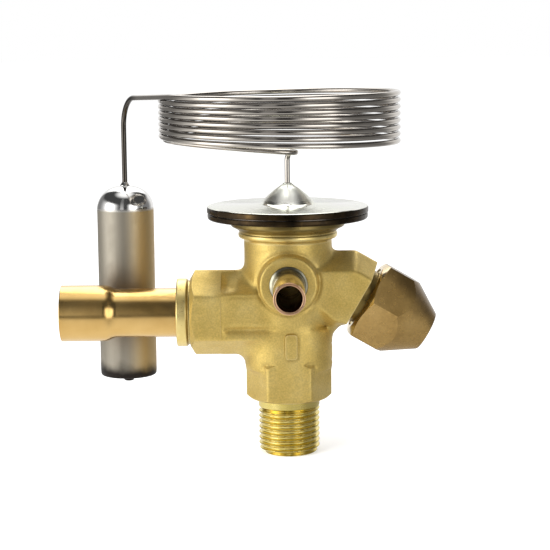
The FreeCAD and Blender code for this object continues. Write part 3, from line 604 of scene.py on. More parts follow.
def stainless():
    """Drawn stainless tube, with painted shade where its turns lie close together, and dark down to the
    bulb.
    """
    n = start_material("stainless", (0.52, 0.48, 0.44), 1.0, 0.11)
    color = n.two_tone(n.noise(90, 3), (0.48, 0.44, 0.39), (0.58, 0.54, 0.49))
    # painted shade between the close turns
    hollow_shade = n.between(n.closeness(1.2 * MM), 0.40, 0.85, 0.9, 0.0, True)
    color = n.mixed(hollow_shade, color, (0.07, 0.055, 0.045))
    drop = n.between(n.axis_value("X"), (BULB_X + 2.5) * MM, (BULB_X + 4.5) * MM, 0.92, 0.0)
    n.feed("Base Color", n.mixed(drop, color, (0.045, 0.038, 0.03)))
    n.feed("Roughness", n.uneven(800, 3, 0.08, 0.14))
    return n.owner


def bulb_steel():
    """Polished dome, satin barrel browner on its side towards the body, painted shade where the barrel lies
    near other parts, and a scorched bottom rim.
    """
    n = start_material("bulb_steel", (0.6, 0.58, 0.54), 1.0, 0.3)
    z = n.axis_value("Z")
    dome_start = BULB_TOP - BULB_DOME
    barrel = n.between(z, (dome_start - 0.5) * MM, (dome_start + 0.5) * MM, 1.0, 0.0)
    rough = n.times(barrel, n.uneven(500, 3, 0.36, 0.46))
    n.feed("Roughness", n.between(rough, 0.0, 1.0, 0.11, 1.0))
    streak = n.two_tone(n.noise(260, 4, n.stretched((1, 1, 0.06))), (0.29, 0.26, 0.205), (0.38, 0.345, 0.28))
    # browner on the barrel's side towards the body
    tint = n.between(n.axis_value("X"), (BULB_X - 0.5) * MM, (BULB_X + 5.5) * MM, 0.0, 0.9, True)
    color = n.mixed(n.times(tint, barrel), streak, (0.52, 0.375, 0.17))
    # painted shade where the barrel lies near other parts, above the tube most of all
    shaded = n.between(n.closeness(10 * MM), 0.35, 0.95, 0.7, 0.0, True)
    color = n.mixed(n.times(shaded, barrel), color, (0.12, 0.075, 0.04))
    height = n.plus(z, n.times(n.uneven(120, 3, -1.0, 1.0), 1.4 * MM))
    scorch = n.between(height, (BULB_BOTTOM + 0.8) * MM, (BULB_BOTTOM + 5.0) * MM, 0.98, 0.0, True)
    color = n.mixed(scorch, color, (0.012, 0.008, 0.006))
    n.feed("Base Color", n.mixed(barrel, (0.80, 0.79, 0.77), color))
    n.feed("Metallic", n.between(barrel, 0.0, 1.0, 1.0, 0.75))
    brushed = n.noise(1200, 2, n.stretched((1, 1, 0.1)))
    n.bump(n.times(brushed, barrel), 0.00001, 0.4)
    return n.owner


def plain_metal(name, color, roughness):
    n = start_material(name, color, 1.0, roughness)
    darker = tuple(0.85 * c for c in color)
    n.feed("Base Color", n.two_tone(n.noise(300, 3), darker, color))
    n.feed("Roughness", n.uneven(800, 3, roughness * 0.85, roughness * 1.2))
    return n.owner


def soft_part(name, color, roughness):
    n = start_material(name, color, 0.0, roughness)
    darker = tuple(0.8 * c for c in color)
    n.feed("Base Color", n.two_tone(n.noise(500, 4), darker, color))
    n.bump(n.noise(2500, 3), 0.00003, 0.4)
    return n.owner


FORGED = forged_brass()
TURNED = turned_brass()
SATIN = satin_brass()
CAP = cap_brass()
TUBE_COPPER = copper("copper", (0.66, 0.41, 0.12), (0.77, 0.51, 0.18), 0.2)
SMALL_COPPER = copper("small_copper", (0.50, 0.36, 0.12), (0.62, 0.46, 0.18), 0.14)
# painted shade inside the equalizer tube's bore, over a dark copper red
BORE_SHADE = copper("copper_bore_shade", (0.03, 0.004, 0.003), (0.16, 0.016, 0.012), 0.35)
RIM_COPPER = copper("rim_copper", (0.80, 0.44, 0.22), (0.92, 0.58, 0.36), 0.3)
BEVEL = plain_metal("cap_bevel", (0.86, 0.70, 0.44), 0.14)
SEAL_COPPER = copper("soft_copper", (0.70, 0.38, 0.24), (0.82, 0.50, 0.34), 0.35)
BRAZE = silver_braze()
PLATE = plate_steel()
DARK = dark_steel()
STAINLESS = stainless()
BULB = bulb_steel()
SPRING = plain_metal("spring_steel", (0.52, 0.52, 0.54), 0.28)
PACKING = soft_part("packing", (0.82, 0.80, 0.74), 0.6)
RUBBER = soft_part("seal_rubber", (0.04, 0.04, 0.04), 0.5)


# The forging

HEX_EDGE = 0.8
CAP_EDGE = 0.35
PAD_CORNER = 0.9
BOSS_EDGE = 0.9
HEX_CLEARANCE = 0.1

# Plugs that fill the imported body's bores, as axis, radius, start and end
PLUGS = [(AXIS_MAIN, 7.0, -14, 43), (AXIS_MAIN, 10.4, 40, 46.6), (AXIS_OUTLET, 7.4, 0, 28.6),
         (AXIS_EQUALIZER, 5.4, 0, EQ_BOSS_END), (AXIS_SPINDLE, 6.2, 0, 31)]
PLUG_ARM = (18, 23.2)

# Remeshing, and its smoothing passes
VOXEL = 0.38
SMOOTH_PASSES = 9
FILLET_PASSES = 34
LAST_PASSES = 2
NORMALS_EVERY = 6
CRISP_WEIGHT = 0.22
SOFT_WEIGHT = 0.5
CRISP_TOP = HEX_TOP + 3.5
CRISP_OUTLET = -17.0

# What lies under a sharper shape sinks this far, on the boss from this y outwards
CRISP_SINK = 0.05
BOSS_SINK_Y = -11.6

# Soft marks pressed into the forging, each as depth, place and width
ARM_CHANNEL = (0.65, -3.3, 0.75)
ARM_LINE = (0.3, 5.4, 0.5)
DENT_ALONG = (0.4, -15.8, 1.3)
DENT_UP = (1.0, 8.2, 1.6)
BOSS_RING = (0.5, 0.45, 0.55)
PAD_RING = (0.3, 0.2, 0.3)
CORNER_EAR = (0.3, 2.1, 0.4)

# Where the marks start, end or stop, as distances from the main axis or as heights
CHANNEL_START = (0.5, 7.5)
CHANNEL_END = (15.4, 16.8)
LINE_START = (5.0, 9.0)
LINE_END = (14.0, 17.0)
ARM_FLAT_Y = 6.5
FRONT_Y = -5.0
DENT_INWARD = 0.5
DENT_DOWN = 0.85
EAR_CENTER = 0.9
EAR_REACH = 11.5
TOP_START = 38.8
TOP_FULL = 40.6
TOP_END = 42.0
TOP_BAND = 0.9


def bore_tools():
    """Everything that is bored in the forging, as closed meshes."""
    main = [(0, -20), (INLET_BORE_R, -20), (INLET_BORE_R, ORIFICE_SHOULDER), (NOSE_BORE_R, ORIFICE_SHOULDER),
            (NOSE_BORE_R, OUTLET_CHAMBER_BOTTOM), (OUTLET_CHAMBER_R, OUTLET_CHAMBER_BOTTOM),
            (OUTLET_CHAMBER_R, OUTLET_CHAMBER_TOP), (GLAND_BUSH_BORE_R, OUTLET_CHAMBER_TOP),
            (GLAND_BUSH_BORE_R, GLAND_BUSH_SEAT), (GLAND_BUSH_SEAT_R, GLAND_BUSH_SEAT),
            (GLAND_BUSH_SEAT_R, CHAMBER_FLOOR), (CHAMBER_R, CHAMBER_FLOOR), (CHAMBER_R, 50), (0, 50)]
    tube_r = TUBE_R + TUBE_CLEARANCE
    outlet = [(0, 0), (OUTLET_BORE_R, 0), (OUTLET_BORE_R, TUBE_START), (tube_r, TUBE_START), (tube_r, 40),
              (0, 40)]
    small_r = EQ_TUBE_R + TUBE_CLEARANCE
    equalizer = [(0, EQ_PORT_START), (EQ_PORT_R, EQ_PORT_START), (EQ_PORT_R, EQ_TUBE_START),
                 (small_r, EQ_TUBE_START), (small_r, EQ_BRAZE_START), (EQ_BRAZE_R, EQ_BOSS_END),
                 (EQ_BRAZE_R, 20), (0, 20)]
    spindle = [(0, 4), (JOURNAL_R, 4), (JOURNAL_R, JOURNAL_END), (PACKING_R, JOURNAL_END),
               (PACKING_R, GLAND_START), (0, GLAND_START)]
    return [revolved(main), revolved(outlet, AXIS_OUTLET), revolved(equalizer, AXIS_EQUALIZER),
            revolved(spindle, AXIS_SPINDLE),
            block((-KEYWAY_HALF_WIDTH, 0, KEYWAY_BOTTOM), (KEYWAY_HALF_WIDTH, KEYWAY_REACH, 50))]


def ramped(value, start, end):
    """0 before start, 1 after end."""
    return np.clip((value - start) / (end - start), 0, 1)


def pressed(mark, distance):
    """Depth of a soft mark, which is deepest at its place and fades with its width."""
    depth, place, width = mark
    return depth * np.exp(-((distance - place) / width) ** 2)


def press_marks(points):
    """Channels and a dent on the outlet arm, and rings round the boss and the pad."""
    x, y, z = points.T
    side = np.sign(y)
    up = z - OUTLET_Z
    channel = pressed(ARM_CHANNEL, up) * ramped(-x, *CHANNEL_START) * (1 - ramped(-x, *CHANNEL_END))
    line = pressed(ARM_LINE, up) * ramped(-x, *LINE_START) * (1 - ramped(-x, *LINE_END))
    boss = pressed(BOSS_RING, np.hypot(x, z - EQ_Z) - EQ_BOSS_R) * (y < FRONT_Y)
    reach_x = np.maximum(np.abs(x - PAD_X) - PAD_WIDTH / 2 + PAD_CORNER, 0)
    reach_z = np.maximum(np.abs(z - PAD_Z) - PAD_HEIGHT / 2 + PAD_CORNER, 0)
    pad = pressed(PAD_RING, np.hypot(reach_x, reach_z) - PAD_CORNER) * (y < FRONT_Y)
    depth = (np.abs(y) > ARM_FLAT_Y) * (channel + line) + boss + pad
    dent = pressed(DENT_ALONG, x) * pressed(DENT_UP, up)
    points[:, 1] -= side * (depth + DENT_INWARD * dent * (np.abs(y) > 1.0))
    points[:, 2] -= DENT_DOWN * dent


def press_ears(points):
    """Curved marks over the corners of the inlet hexagon."""
    x, y, z = points.T
    angle = np.arctan2(y, x)
    corner = (angle + pi / 6) % (pi / 3) - pi / 6
    radius = np.hypot(x, y)
    arc = np.hypot(radius * corner, z - HEX_TOP + EAR_CENTER)
    ear = pressed(CORNER_EAR, arc) * ramped(z, HEX_TOP - 0.2, HEX_TOP + 0.6) * (radius < EAR_REACH)
    points[:, 0] -= ear * np.cos(angle)
    points[:, 1] -= ear * np.sin(angle)


def match_rim(points):
    """Brings the body's top to the radius of the turned rim."""
    x, y, z = points.T
    radius = np.hypot(x, y)
    top = ramped(z, TOP_START, TOP_FULL) * (np.abs(radius - BODY_R) < TOP_BAND) * (z < TOP_END)
    points[:, :2] *= (1 + top * (BODY_R / np.maximum(radius, 1) - 1))[:, None]


def rows(items, key, width=3, kind=float):
    """Array of one property of a mesh's vertices or edges, with a row for each."""
    values = np.empty(len(items) * width, dtype=kind)
    items.foreach_get(key, values)
    return values.reshape(-1, width)


def smoothed(mesh):
    """Rounds the forging: light passes all over, then the hollows fill up to soft fillets."""
    count = len(mesh.vertices)
    points = rows(mesh.vertices, "co")
    first, second = rows(mesh.edges, "vertices", 2, np.int64).T
    degree = np.bincount(first, minlength=count) + np.bincount(second, minlength=count)
    crisp = (points[:, 2] < CRISP_TOP) | (points[:, 0] < CRISP_OUTLET)
    weight = np.where(crisp, CRISP_WEIGHT, SOFT_WEIGHT)[:, None]

    def pull(p):
        """From each point to the middle of its neighbours."""
        total = np.empty_like(p)
        for axis in range(3):
            total[:, axis] = (np.bincount(first, p[second, axis], minlength=count)
                              + np.bincount(second, p[first, axis], minlength=count))
        return total / degree[:, None] - p

    for _ in range(SMOOTH_PASSES):
        points += weight * pull(points)
    for step in range(FILLET_PASSES):
        if step % NORMALS_EVERY == 0:
            mesh.vertices.foreach_set("co", points.ravel())
            mesh.update()
            normals = rows(mesh.vertices, "normal")
        lift = np.einsum("ij,ij->i", pull(points), normals)
        points += normals * (np.clip(lift, 0, None) * weight[:, 0])[:, None]
    for _ in range(LAST_PASSES):
        points += weight * pull(points)
    press_marks(points)
    press_ears(points)
    match_rim(points)
    over_boss = np.hypot(points[:, 0], points[:, 2] - EQ_Z) < EQ_BOSS_R + 0.6
    sunk = ((points[:, 2] < HEX_TOP) | (points[:, 0] < -OUTLET_HEX_START)
            | ((points[:, 1] < BOSS_SINK_Y) & over_boss))
    points -= normals * (CRISP_SINK * sunk)[:, None]
    mesh.vertices.foreach_set("co", points.ravel())
    mesh.update()
    return mesh


def corner_reach(across_flats):
    """Just past the sharp corners of a hexagon."""
    return across_flats / sqrt(3) + HEX_CLEARANCE


def hexagon_bar(across_flats, turn, edge, start, end, blank, axis=AXIS_MAIN):
    """Hexagon bar from start to end, turned down to a blank's outline."""
    bar = prism(hexagon(across_flats, turn, edge), start, end, axis)
    return combined(bar, [revolved(eased(blank, 0.1), axis)], "INTERSECT")


def inlet_hexagon():
    corner = corner_reach(HEX_AF)
    fall = (corner - HEX_FACE_R) * tan(radians(30))
    rise = (corner - WAIST_R) * tan(radians(50))
    blank = [(0, 0), (HEX_FACE_R, 0, 0.1), (corner, fall, 0), (corner, HEX_TOP, 0),
             (WAIST_R, HEX_TOP + rise, 0), (0, HEX_TOP + rise)]
    return hexagon_bar(HEX_AF, 0, HEX_EDGE, -1, HEX_TOP + rise + 1, blank)


def outlet_hexagon():
    corner = corner_reach(HEX_AF)
    chamfer = (corner - COLLAR_R) * tan(radians(30))
    start = OUTLET_HEX_START
    end = OUTLET_HEX_END
    blank = [(0, start), (corner, start, 0), (corner, end - chamfer, 0), (COLLAR_R, end, 0.15), (0, end)]
    return hexagon_bar(HEX_AF, 0, HEX_EDGE, start - 1, end + 1, blank, AXIS_OUTLET)


def equalizer_boss():
    outline = [(0, 6), (EQ_BOSS_R, 6, 0), (EQ_BOSS_R, EQ_BOSS_END), (0, EQ_BOSS_END)]
    return revolved(eased(outline, BOSS_EDGE, 8), AXIS_EQUALIZER)


def forged_pad():
    """Small raised rectangle with rounded corners on the front of the waist."""
    left = PAD_X - PAD_WIDTH / 2
    right = -left + 2 * PAD_X
    low = PAD_Z - PAD_HEIGHT / 2
    corners = [(left, low), (right, low), (right, low + PAD_HEIGHT), (left, low + PAD_HEIGHT)]
    outline = eased(corners, PAD_CORNER, turned=False)
    return prism(outline, WAIST_R - 2, WAIST_R + PAD_PROUD, AXIS_FRONT)


def forging():
    """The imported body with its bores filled, remeshed and rounded, then machined again."""
    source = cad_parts["valve_body"].data.copy()
    source.transform(Matrix.Scale(1 / MM, 4))
    plugs = [revolved([(0, start), (r, start), (r, end), (0, end)], axis) for axis, r, start, end in PLUGS]
    arm = [(-ARM_RIDGE_UP, 0), (-ARM_EDGE_UP, ARM_HALF_DEPTH), (ARM_EDGE_DOWN, ARM_HALF_DEPTH),
           (ARM_RIDGE_DOWN, 0), (ARM_EDGE_DOWN, -ARM_HALF_DEPTH), (-ARM_EDGE_UP, -ARM_HALF_DEPTH)]
    plugs.append(prism(arm, *PLUG_ARM, AXIS_SPINDLE))
    base = temporary(source)
    others = [temporary(plug) for plug in plugs]
    with bpy.context.temp_override(active_object=base, selected_editable_objects=[base] + others):
        bpy.ops.object.join()
    remesh = base.modifiers.new("remesh", "REMESH")
    remesh.mode = "VOXEL"
    remesh.voxel_size = VOXEL
    mesh = smoothed(applied(base))
    trims = [block((-30, -30, -40), (30, 30, 0)), block((-30, -30, RIM_START), (30, 30, 60)),
             block((-15, -15, OUTLET_HEX_END), (15, 15, 60), AXIS_OUTLET),
             block((-15, -15, ARM_END), (15, 15, 60), AXIS_SPINDLE)]
    mesh = combined(mesh, trims, "DIFFERENCE")
    mesh = combined(mesh, [inlet_hexagon(), outlet_hexagon(), equalizer_boss(), forged_pad()], "UNION")
    return combined(mesh, bore_tools(), "DIFFERENCE")


# Turned ends of the body

THREAD_AROUND = 96
THREAD_ROWS = 12
GROOVE_GAIN = 1.35
GROOVE_FADE = 0.8
TIP_LENGTH = 2.0
TIP_FALL = 0.95
NECK_COLLAR = 0.6
SPIGOT_BAND = 0.3


def threaded(axis, outer_r, start, end, band, inner):
    """Hollow threaded sleeve. Its groove fades in past a plain band at the start, and its end narrows."""
    rows = int(abs(end - start) / THREAD_PITCH * THREAD_ROWS)
    vertices = []
    for row in range(rows + 1):
        z = start + (end - start) * row / rows
        fade = min(1.0, max(0.0, (abs(z - start) - band) / (GROOVE_FADE * THREAD_PITCH)))
        tip = max(0.0, 1.0 - abs(end - z) / TIP_LENGTH)
        for k in range(THREAD_AROUND):
            angle = 2 * pi * k / THREAD_AROUND
            phase = ((z - start) / THREAD_PITCH - k / THREAD_AROUND) % 1.0
            groove = min(1.0, GROOVE_GAIN * (0.5 - 0.5 * cos(2 * pi * phase)))
            r = outer_r - THREAD_DEPTH * groove * fade - TIP_FALL * tip ** 2
            vertices.append(axis @ Vector((r * cos(angle), r * sin(angle), z)))
    for r, z in inner:
        vertices += circle(r, z, THREAD_AROUND, axis)
    rings = [list(range(first, first + THREAD_AROUND)) for first in range(0, len(vertices), THREAD_AROUND)]
    return closed_mesh(vertices, skin(rings + rings[:1]))


def inlet_thread():
    inner = [(STRAINER_BORE_R, -THREAD_LENGTH), (STRAINER_BORE_R, STRAINER_SEAT),
             (INLET_BORE_R, STRAINER_SEAT), (INLET_BORE_R, 0)]
    return threaded(AXIS_MAIN, THREAD_R, 0, -THREAD_LENGTH, THREAD_BAND, inner)


def spigot():
    neck_end = ARM_END + SPIGOT_NECK_LENGTH
    inner = [(GLAND_R, SPIGOT_END), (GLAND_R, GLAND_START), (PACKING_R, GLAND_START),
             (PACKING_R, neck_end)]
    return threaded(AXIS_SPINDLE, THREAD_R - 0.02, neck_end, SPIGOT_END, SPIGOT_BAND, inner)


def spigot_neck():
    neck_end = ARM_END + SPIGOT_NECK_LENGTH
    outline = [(PACKING_R, ARM_END), (SPIGOT_NECK_R, ARM_END, 0), (SPIGOT_NECK_R, neck_end),
               (THREAD_R - 0.3, neck_end + 0.5), (THREAD_R - 0.5, neck_end + NECK_COLLAR),
               (PACKING_R, neck_end + NECK_COLLAR)]
    return revolved(eased(outline, 0.15), AXIS_SPINDLE)


def outlet_collar():
    start = OUTLET_HEX_END
    end = start + COLLAR_LENGTH
    bore = TUBE_R + TUBE_CLEARANCE
    mouth = bore + COLLAR_MOUTH_GAP
    outline = [(bore, start), (COLLAR_R - 0.5, start, 0), (COLLAR_R - 0.5, start + 0.5),
               (COLLAR_R, start + 1.0), (COLLAR_R, end, 0.45), (mouth, end),
               (mouth, end - COLLAR_MOUTH_DEPTH + 0.4), (bore, end - COLLAR_MOUTH_DEPTH)]
    return revolved(eased(outline, 0.18), AXIS_OUTLET)


def body_rim():
    """Turned top of the body: bright bead and flare under the element."""
    outline = [(CHAMBER_R, RIM_START), (BODY_R, RIM_START, 0), (BODY_R + 0.15, RIM_START + 0.5, 0.4),
               (BEAD_R, BEAD_Z - 0.55, 0.7), (BEAD_R + 0.15, BEAD_Z + 0.45, 0.7),
               (BEAD_R - 0.25, BEAD_Z + 0.95, 0.4), (BEAD_R + 0.5, BEAD_Z + 1.7, 0.9),
               (FLARE_R, BEAD_Z + 2.4, 0.5), (FLARE_R, BODY_TOP, 0.15), (ELEMENT_THREAD_R, BODY_TOP),
               (ELEMENT_THREAD_R, ELEMENT_THREAD_START), (CHAMBER_R, ELEMENT_THREAD_START)]
    return revolved(eased(outline, 0.1))


# Tubes and braze

def outlet_tube():
    bore = TUBE_R - TUBE_WALL
    step_end = TUBE_END - SOCKET_LENGTH
    step = step_end - SOCKET_STEP
    outline = [(bore, TUBE_START), (TUBE_R, TUBE_START), (TUBE_R, step, 1.2), (SOCKET_R, step_end, 1.2),
               (SOCKET_R, TUBE_END, 0.25), (SOCKET_BORE_R, TUBE_END, 0.25), (SOCKET_BORE_R, step_end, 0.5),
               (bore, step, 0.8)]
    return revolved(eased(outline, 0.1, 6), AXIS_OUTLET)


def equalizer_tube():
    outline = [(EQ_TUBE_INNER_R, EQ_TUBE_START), (EQ_TUBE_R, EQ_TUBE_START),
               (EQ_TUBE_R, EQ_TUBE_END, 0.22), (EQ_TUBE_INNER_R, EQ_TUBE_END, 0.22)]
    return revolved(eased(outline, 0.05), AXIS_EQUALIZER)


def braze_ring():
    end = EQ_BOSS_END
    outline = [(EQ_TUBE_R, end - 0.8), (EQ_BRAZE_R - 0.05, end - 0.05, 0.1),
               (EQ_BRAZE_R - 0.35, end + 0.12, 0.3), (EQ_TUBE_R + 0.3, end + 0.3, 0.3),
               (EQ_TUBE_R, end + 0.68)]
    return revolved(eased(outline, 0.05), AXIS_EQUALIZER)


# Spindle cap

def cap_nut():
    corner = corner_reach(CAP_AF)
    slope = (CAP_AF / 2 - CAP_END_R) / (CAP_END - CAP_CONE_START)
    cone_at_corner = CAP_CONE_START - (corner - CAP_AF / 2) / slope
    chamfer = (corner - CAP_FACE_R) * tan(radians(30))
    outside = [(0, CAP_FACE), (CAP_FACE_R, CAP_FACE, 0.2), (corner, CAP_FACE + chamfer, 0),
               (corner, cone_at_corner, 0), (CAP_END_R, CAP_END, 0.35), (0, CAP_END)]
    inside = [(0, CAP_FACE - 1), (CAP_THREAD_R, CAP_FACE - 1), (CAP_THREAD_R, CAP_SHOULDER),
              (CAP_CAVITY_R, CAP_SHOULDER), (CAP_CAVITY_R, CAP_CAVITY_END - 2.0),
              (CAP_CAVITY_R - 2.0, CAP_CAVITY_END), (0, CAP_CAVITY_END)]
    nut = hexagon_bar(CAP_AF, 30 - CAP_TURN, CAP_EDGE, CAP_FACE, CAP_END, outside, AXIS_SPINDLE)
    return combined(nut, [revolved(inside, AXIS_SPINDLE)], "DIFFERENCE")


def on_cap_bevel(polygon):
    """The turned bevel and face towards the body."""
    to_axis = AXIS_SPINDLE.inverted()
    along = (to_axis @ (polygon.center / MM)).z
    return along < CAP_FACE + CAP_BEVEL and (to_axis.to_3x3() @ polygon.normal).z < -0.3


# Diaphragm element

def element_base():
    hub_r = ELEMENT_THREAD_R - 0.05
    inner = hub_r - HUB_WALL
    outer = ELEMENT_R - 0.15
    bottom = ELEMENT_THREAD_START + 0.1
    recess = PLATE_JOIN - RECESS_DEPTH
    outline = [(inner, bottom), (hub_r, bottom), (hub_r, BODY_TOP), (outer, BODY_TOP, 0.7),
               (outer, PLATE_JOIN, 0.25), (RECESS_R + 0.6, PLATE_JOIN), (RECESS_R, recess), (inner, recess)]
    return revolved(eased(outline, 0.1), segments=PLATE_SEGMENTS)


def element_cover():
    """Upper plate, drawn up to a trumpet that holds the capillary tube."""
    crown = COVER_TOP + COVER_RISE
    socket = TRUMPET_TOP_Z - TRUMPET_SOCKET
    recess = COVER_BOTTOM + RECESS_DEPTH
    bore = CAPILLARY_R + 0.02
    outline = [(TRUMPET_FLOOR_R, recess), (RECESS_R, recess), (RECESS_R + 0.6, COVER_BOTTOM),
               (ELEMENT_R, COVER_BOTTOM, 0.3), (ELEMENT_R, COVER_TOP, 0.55),
               (TRUMPET_BASE_R + 0.8, crown, 0), (TRUMPET_BASE_R, crown + 0.25, 0), (6.3, crown + 1.0, 0.6),
               (4.9, crown + 2.45, 1.0), (2.8, crown + 4.1, 1.0), (1.75, crown + 4.75, 0.5),
               (TRUMPET_TOP_R, crown + 5.2, 0.3), (TRUMPET_TOP_R, TRUMPET_TOP_Z, 0.1),
               (bore, TRUMPET_TOP_Z), (bore, socket), (TRUMPET_FLOOR_R, socket)]
    return revolved(eased(outline, 0.1), segments=PLATE_SEGMENTS)


def on_cover_rim(polygon):
    reach = hypot(polygon.center.x, polygon.center.y)
    return reach > (ELEMENT_R - 0.35) * MM and abs(polygon.normal.z) < 0.8


def inside_equalizer_tube(polygon):
    reach = hypot(polygon.center.x, polygon.center.z - EQ_Z * MM)
    return reach < (EQ_TUBE_INNER_R + 0.02) * MM


def at_equalizer_rim(polygon):
    return polygon.center.y < -(EQ_TUBE_END - 0.35) * MM


def more_material(mesh, material, belongs):
    """Gives some faces one more material."""
    mesh.materials.append(material)
    for polygon in mesh.polygons:
        if belongs(polygon):
            polygon.material_index = len(mesh.materials) - 1


# Sensing bulb

def bulb():
    nub_end = BULB_BOTTOM - BULB_NUB
    outline = [(0, nub_end), (BULB_NUB_R, nub_end, 0.7), (BULB_NUB_R, BULB_BOTTOM, 0.3),
               (BULB_R - 0.1, BULB_BOTTOM, 0.9), (BULB_R, BULB_BOTTOM + 1.2, 0)]
    for k in range(BULB_DOME_STEPS + 1):
        angle = pi / 2 * k / BULB_DOME_STEPS
        r = BULB_R * cos(angle) ** BULB_DOME_POWER
        outline.append((max(r, BULB_NECK_R), BULB_TOP - BULB_DOME + BULB_DOME * sin(angle), 0))
    neck_end = BULB_TOP + BULB_NECK
    outline += [(BULB_NECK_R - 0.1, BULB_TOP + 0.25, 0.1), (CAPILLARY_R + 0.1, neck_end, 0.05),
                (0, neck_end)]
    return revolved(eased(outline, 0.1), AXIS_BULB)


# Capillary tube

def coil_point(turns):
    angle = pi - 2 * pi * turns
    tilt = COIL_TILT_START + COIL_TILT_GAIN * turns
    height = COIL_START_Z + COIL_PITCH * turns - tilt * cos(2 * pi * turns)
    return Vector((COIL_X + COIL_R * cos(angle), COIL_R * sin(angle), height))


def capillary_route():
    """Stem, bend and lead, the coil, and the bend and drop into the bulb."""
    points = [Vector((0, 0, TRUMPET_TOP_Z - TRUMPET_SOCKET)), Vector((0, 0, TRUMPET_TOP_Z + 2))]
    heading = radians(LEAD_HEADING)
    ahead = Vector((cos(heading), sin(heading), 0))
    for k in range(STEM_BEND_STEPS + 1):
        turn = pi / 2 * k / STEM_BEND_STEPS
        lift = Vector((0, 0, STEM_TOP - STEM_BEND_R + STEM_BEND_R * sin(turn)))
        points.append(ahead * (STEM_BEND_R * (1 - cos(turn))) + lift)
    start = points[-1]
    end = coil_point(LEAD_JOIN)
    leaving = (coil_point(LEAD_JOIN + 0.01) - end).normalized()
    for k in range(1, LEAD_STEPS):
        t = k / LEAD_STEPS
        points.append(start * (2 * t ** 3 - 3 * t ** 2 + 1) + ahead * (LEAD_PULL * (t ** 3 - 2 * t ** 2 + t))
                      + end * (3 * t ** 2 - 2 * t ** 3) + leaving * (LEAD_PULL * (t ** 3 - t ** 2)))
    coiled = COIL_TURNS - LEAD_JOIN
    count = int(COIL_STEPS * coiled)
    for k in range(count + 1):
        points.append(coil_point(LEAD_JOIN + coiled * k / count))
    leave = points[-1]
    corner = Vector((BULB_X, BULB_Y, leave.z - LEAD_FALL))
    ahead = Vector((BULB_X - leave.x, BULB_Y - leave.y, 0)).normalized()
    for k in range(DROP_BEND_STEPS + 1):
        turn = pi / 2 * k / DROP_BEND_STEPS
        fall = Vector((0, 0, DROP_BEND_R * (1 - cos(turn))))
        points.append(corner - ahead * (DROP_BEND_R * (1 - sin(turn))) - fall)
    return points + [Vector((BULB_X, BULB_Y, BULB_TOP + 2)), Vector((BULB_X, BULB_Y, BULB_TOP - 0.5))]


def tube_along(points, radius, sides=14):
    """Round tube along points, with frames carried without twist."""
    vertices = []
    side = Vector((1, 0, 0))
    for k, point in enumerate(points):
        before = points[max(k - 1, 0)]
        after = points[min(k + 1, len(points) - 1)]
        ahead = (after - before).normalized()
        side = (side - ahead * side.dot(ahead)).normalized()
        up = ahead.cross(side)
        for i in range(sides):
            angle = 2 * pi * i / sides
            vertices.append(point + side * (radius * cos(angle)) + up * (radius * sin(angle)))
    rings = [list(range(first, first + sides)) for first in range(0, len(vertices), sides)]
    return closed_mesh(vertices, [rings[0], rings[-1][::-1]] + skin(rings))


# The pieces

piece("body_forging", forging(), FORGED, "valve_body", sharp=38)
piece("inlet_thread", inlet_thread(), TURNED, "valve_body", sharp=60)
piece("spigot_thread", spigot(), TURNED, "valve_body", sharp=60)
piece("spigot_neck", spigot_neck(), SATIN, "valve_body")
piece("outlet_collar", outlet_collar(), SATIN, "valve_body")
piece("body_rim", body_rim(), SATIN, "valve_body")
piece("outlet_tube_drawn", outlet_tube(), TUBE_COPPER, "outlet_tube")
small_tube = piece("equalizer_tube_drawn", equalizer_tube(), SMALL_COPPER, "equalizer_tube")
more_material(small_tube.data, RIM_COPPER, at_equalizer_rim)
# painted shade on the faces inside the bore
more_material(small_tube.data, BORE_SHADE, inside_equalizer_tube)
piece("equalizer_braze_ring", braze_ring(), BRAZE, "equalizer_braze")
cap = piece("cap_nut", cap_nut(), CAP, "spindle_cap", body="cap", sharp=20)
more_material(cap.data, BEVEL, on_cap_bevel)
piece("element_base_plate", element_base(), DARK, "element_base")
cover_plate = piece("element_cover_plate", element_cover(), PLATE, "element_cover")
more_material(cover_plate.data, DARK, on_cover_rim)
piece("bulb_shell", bulb(), BULB, "sensing_bulb")
coil = tube_along(capillary_route(), CAPILLARY_R)
piece("capillary_coil", coil, STAINLESS, "capillary_tube", sharp=80)


# Materials of the inner pieces that keep their solids

INNER = [
    (TURNED, ("setting_spindle", "spindle_washer", "spindle_gland_nut", "adjusting_gear", "spring_seat",
              "pin_gland", "orifice_body", "spring_retainer")),
    (STAINLESS, ("thrust_plate", "push_pin", "diaphragm", "valve_cone", "strainer")),
    (SPRING, ("superheat_spring", "cone_spring")),
    (SEAL_COPPER, ("cap_seal",)),
    (PACKING, ("spindle_packing",)),
    (RUBBER, ("pin_seal",))]
for material, nodes in INNER:
    for node in nodes:
        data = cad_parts[node].data
        data.materials.clear()
        data.materials.append(material)
        data.shade_smooth()
        data.set_sharp_from_angle(angle=radians(35))


# Floor, light and camera

FLOOR_Z = -THREAD_LENGTH - 0.1
FLOOR_REACH = 4000.0
FLOOR_THICKNESS = 5.0
FLOOR_GLOW = 0.46
TARGET = Vector((-3.4, 0, 32))
DISTANCE = 450.0
ELEVATION = 8.5
ROLL = 0.55
SENSOR = 36.0

# In metres, as are the lamps' places and sizes
LIGHT_AIM = Vector((0, 0, 0.03))

# Reflected floor: its own brightness from left to right when near, and the horizon's when far
FLOOR_NEAR = 110.0
FLOOR_FAR = 240.0
FLOOR_GLOSS_LEFT = 1.05
FLOOR_GLOSS_RIGHT = 0.33


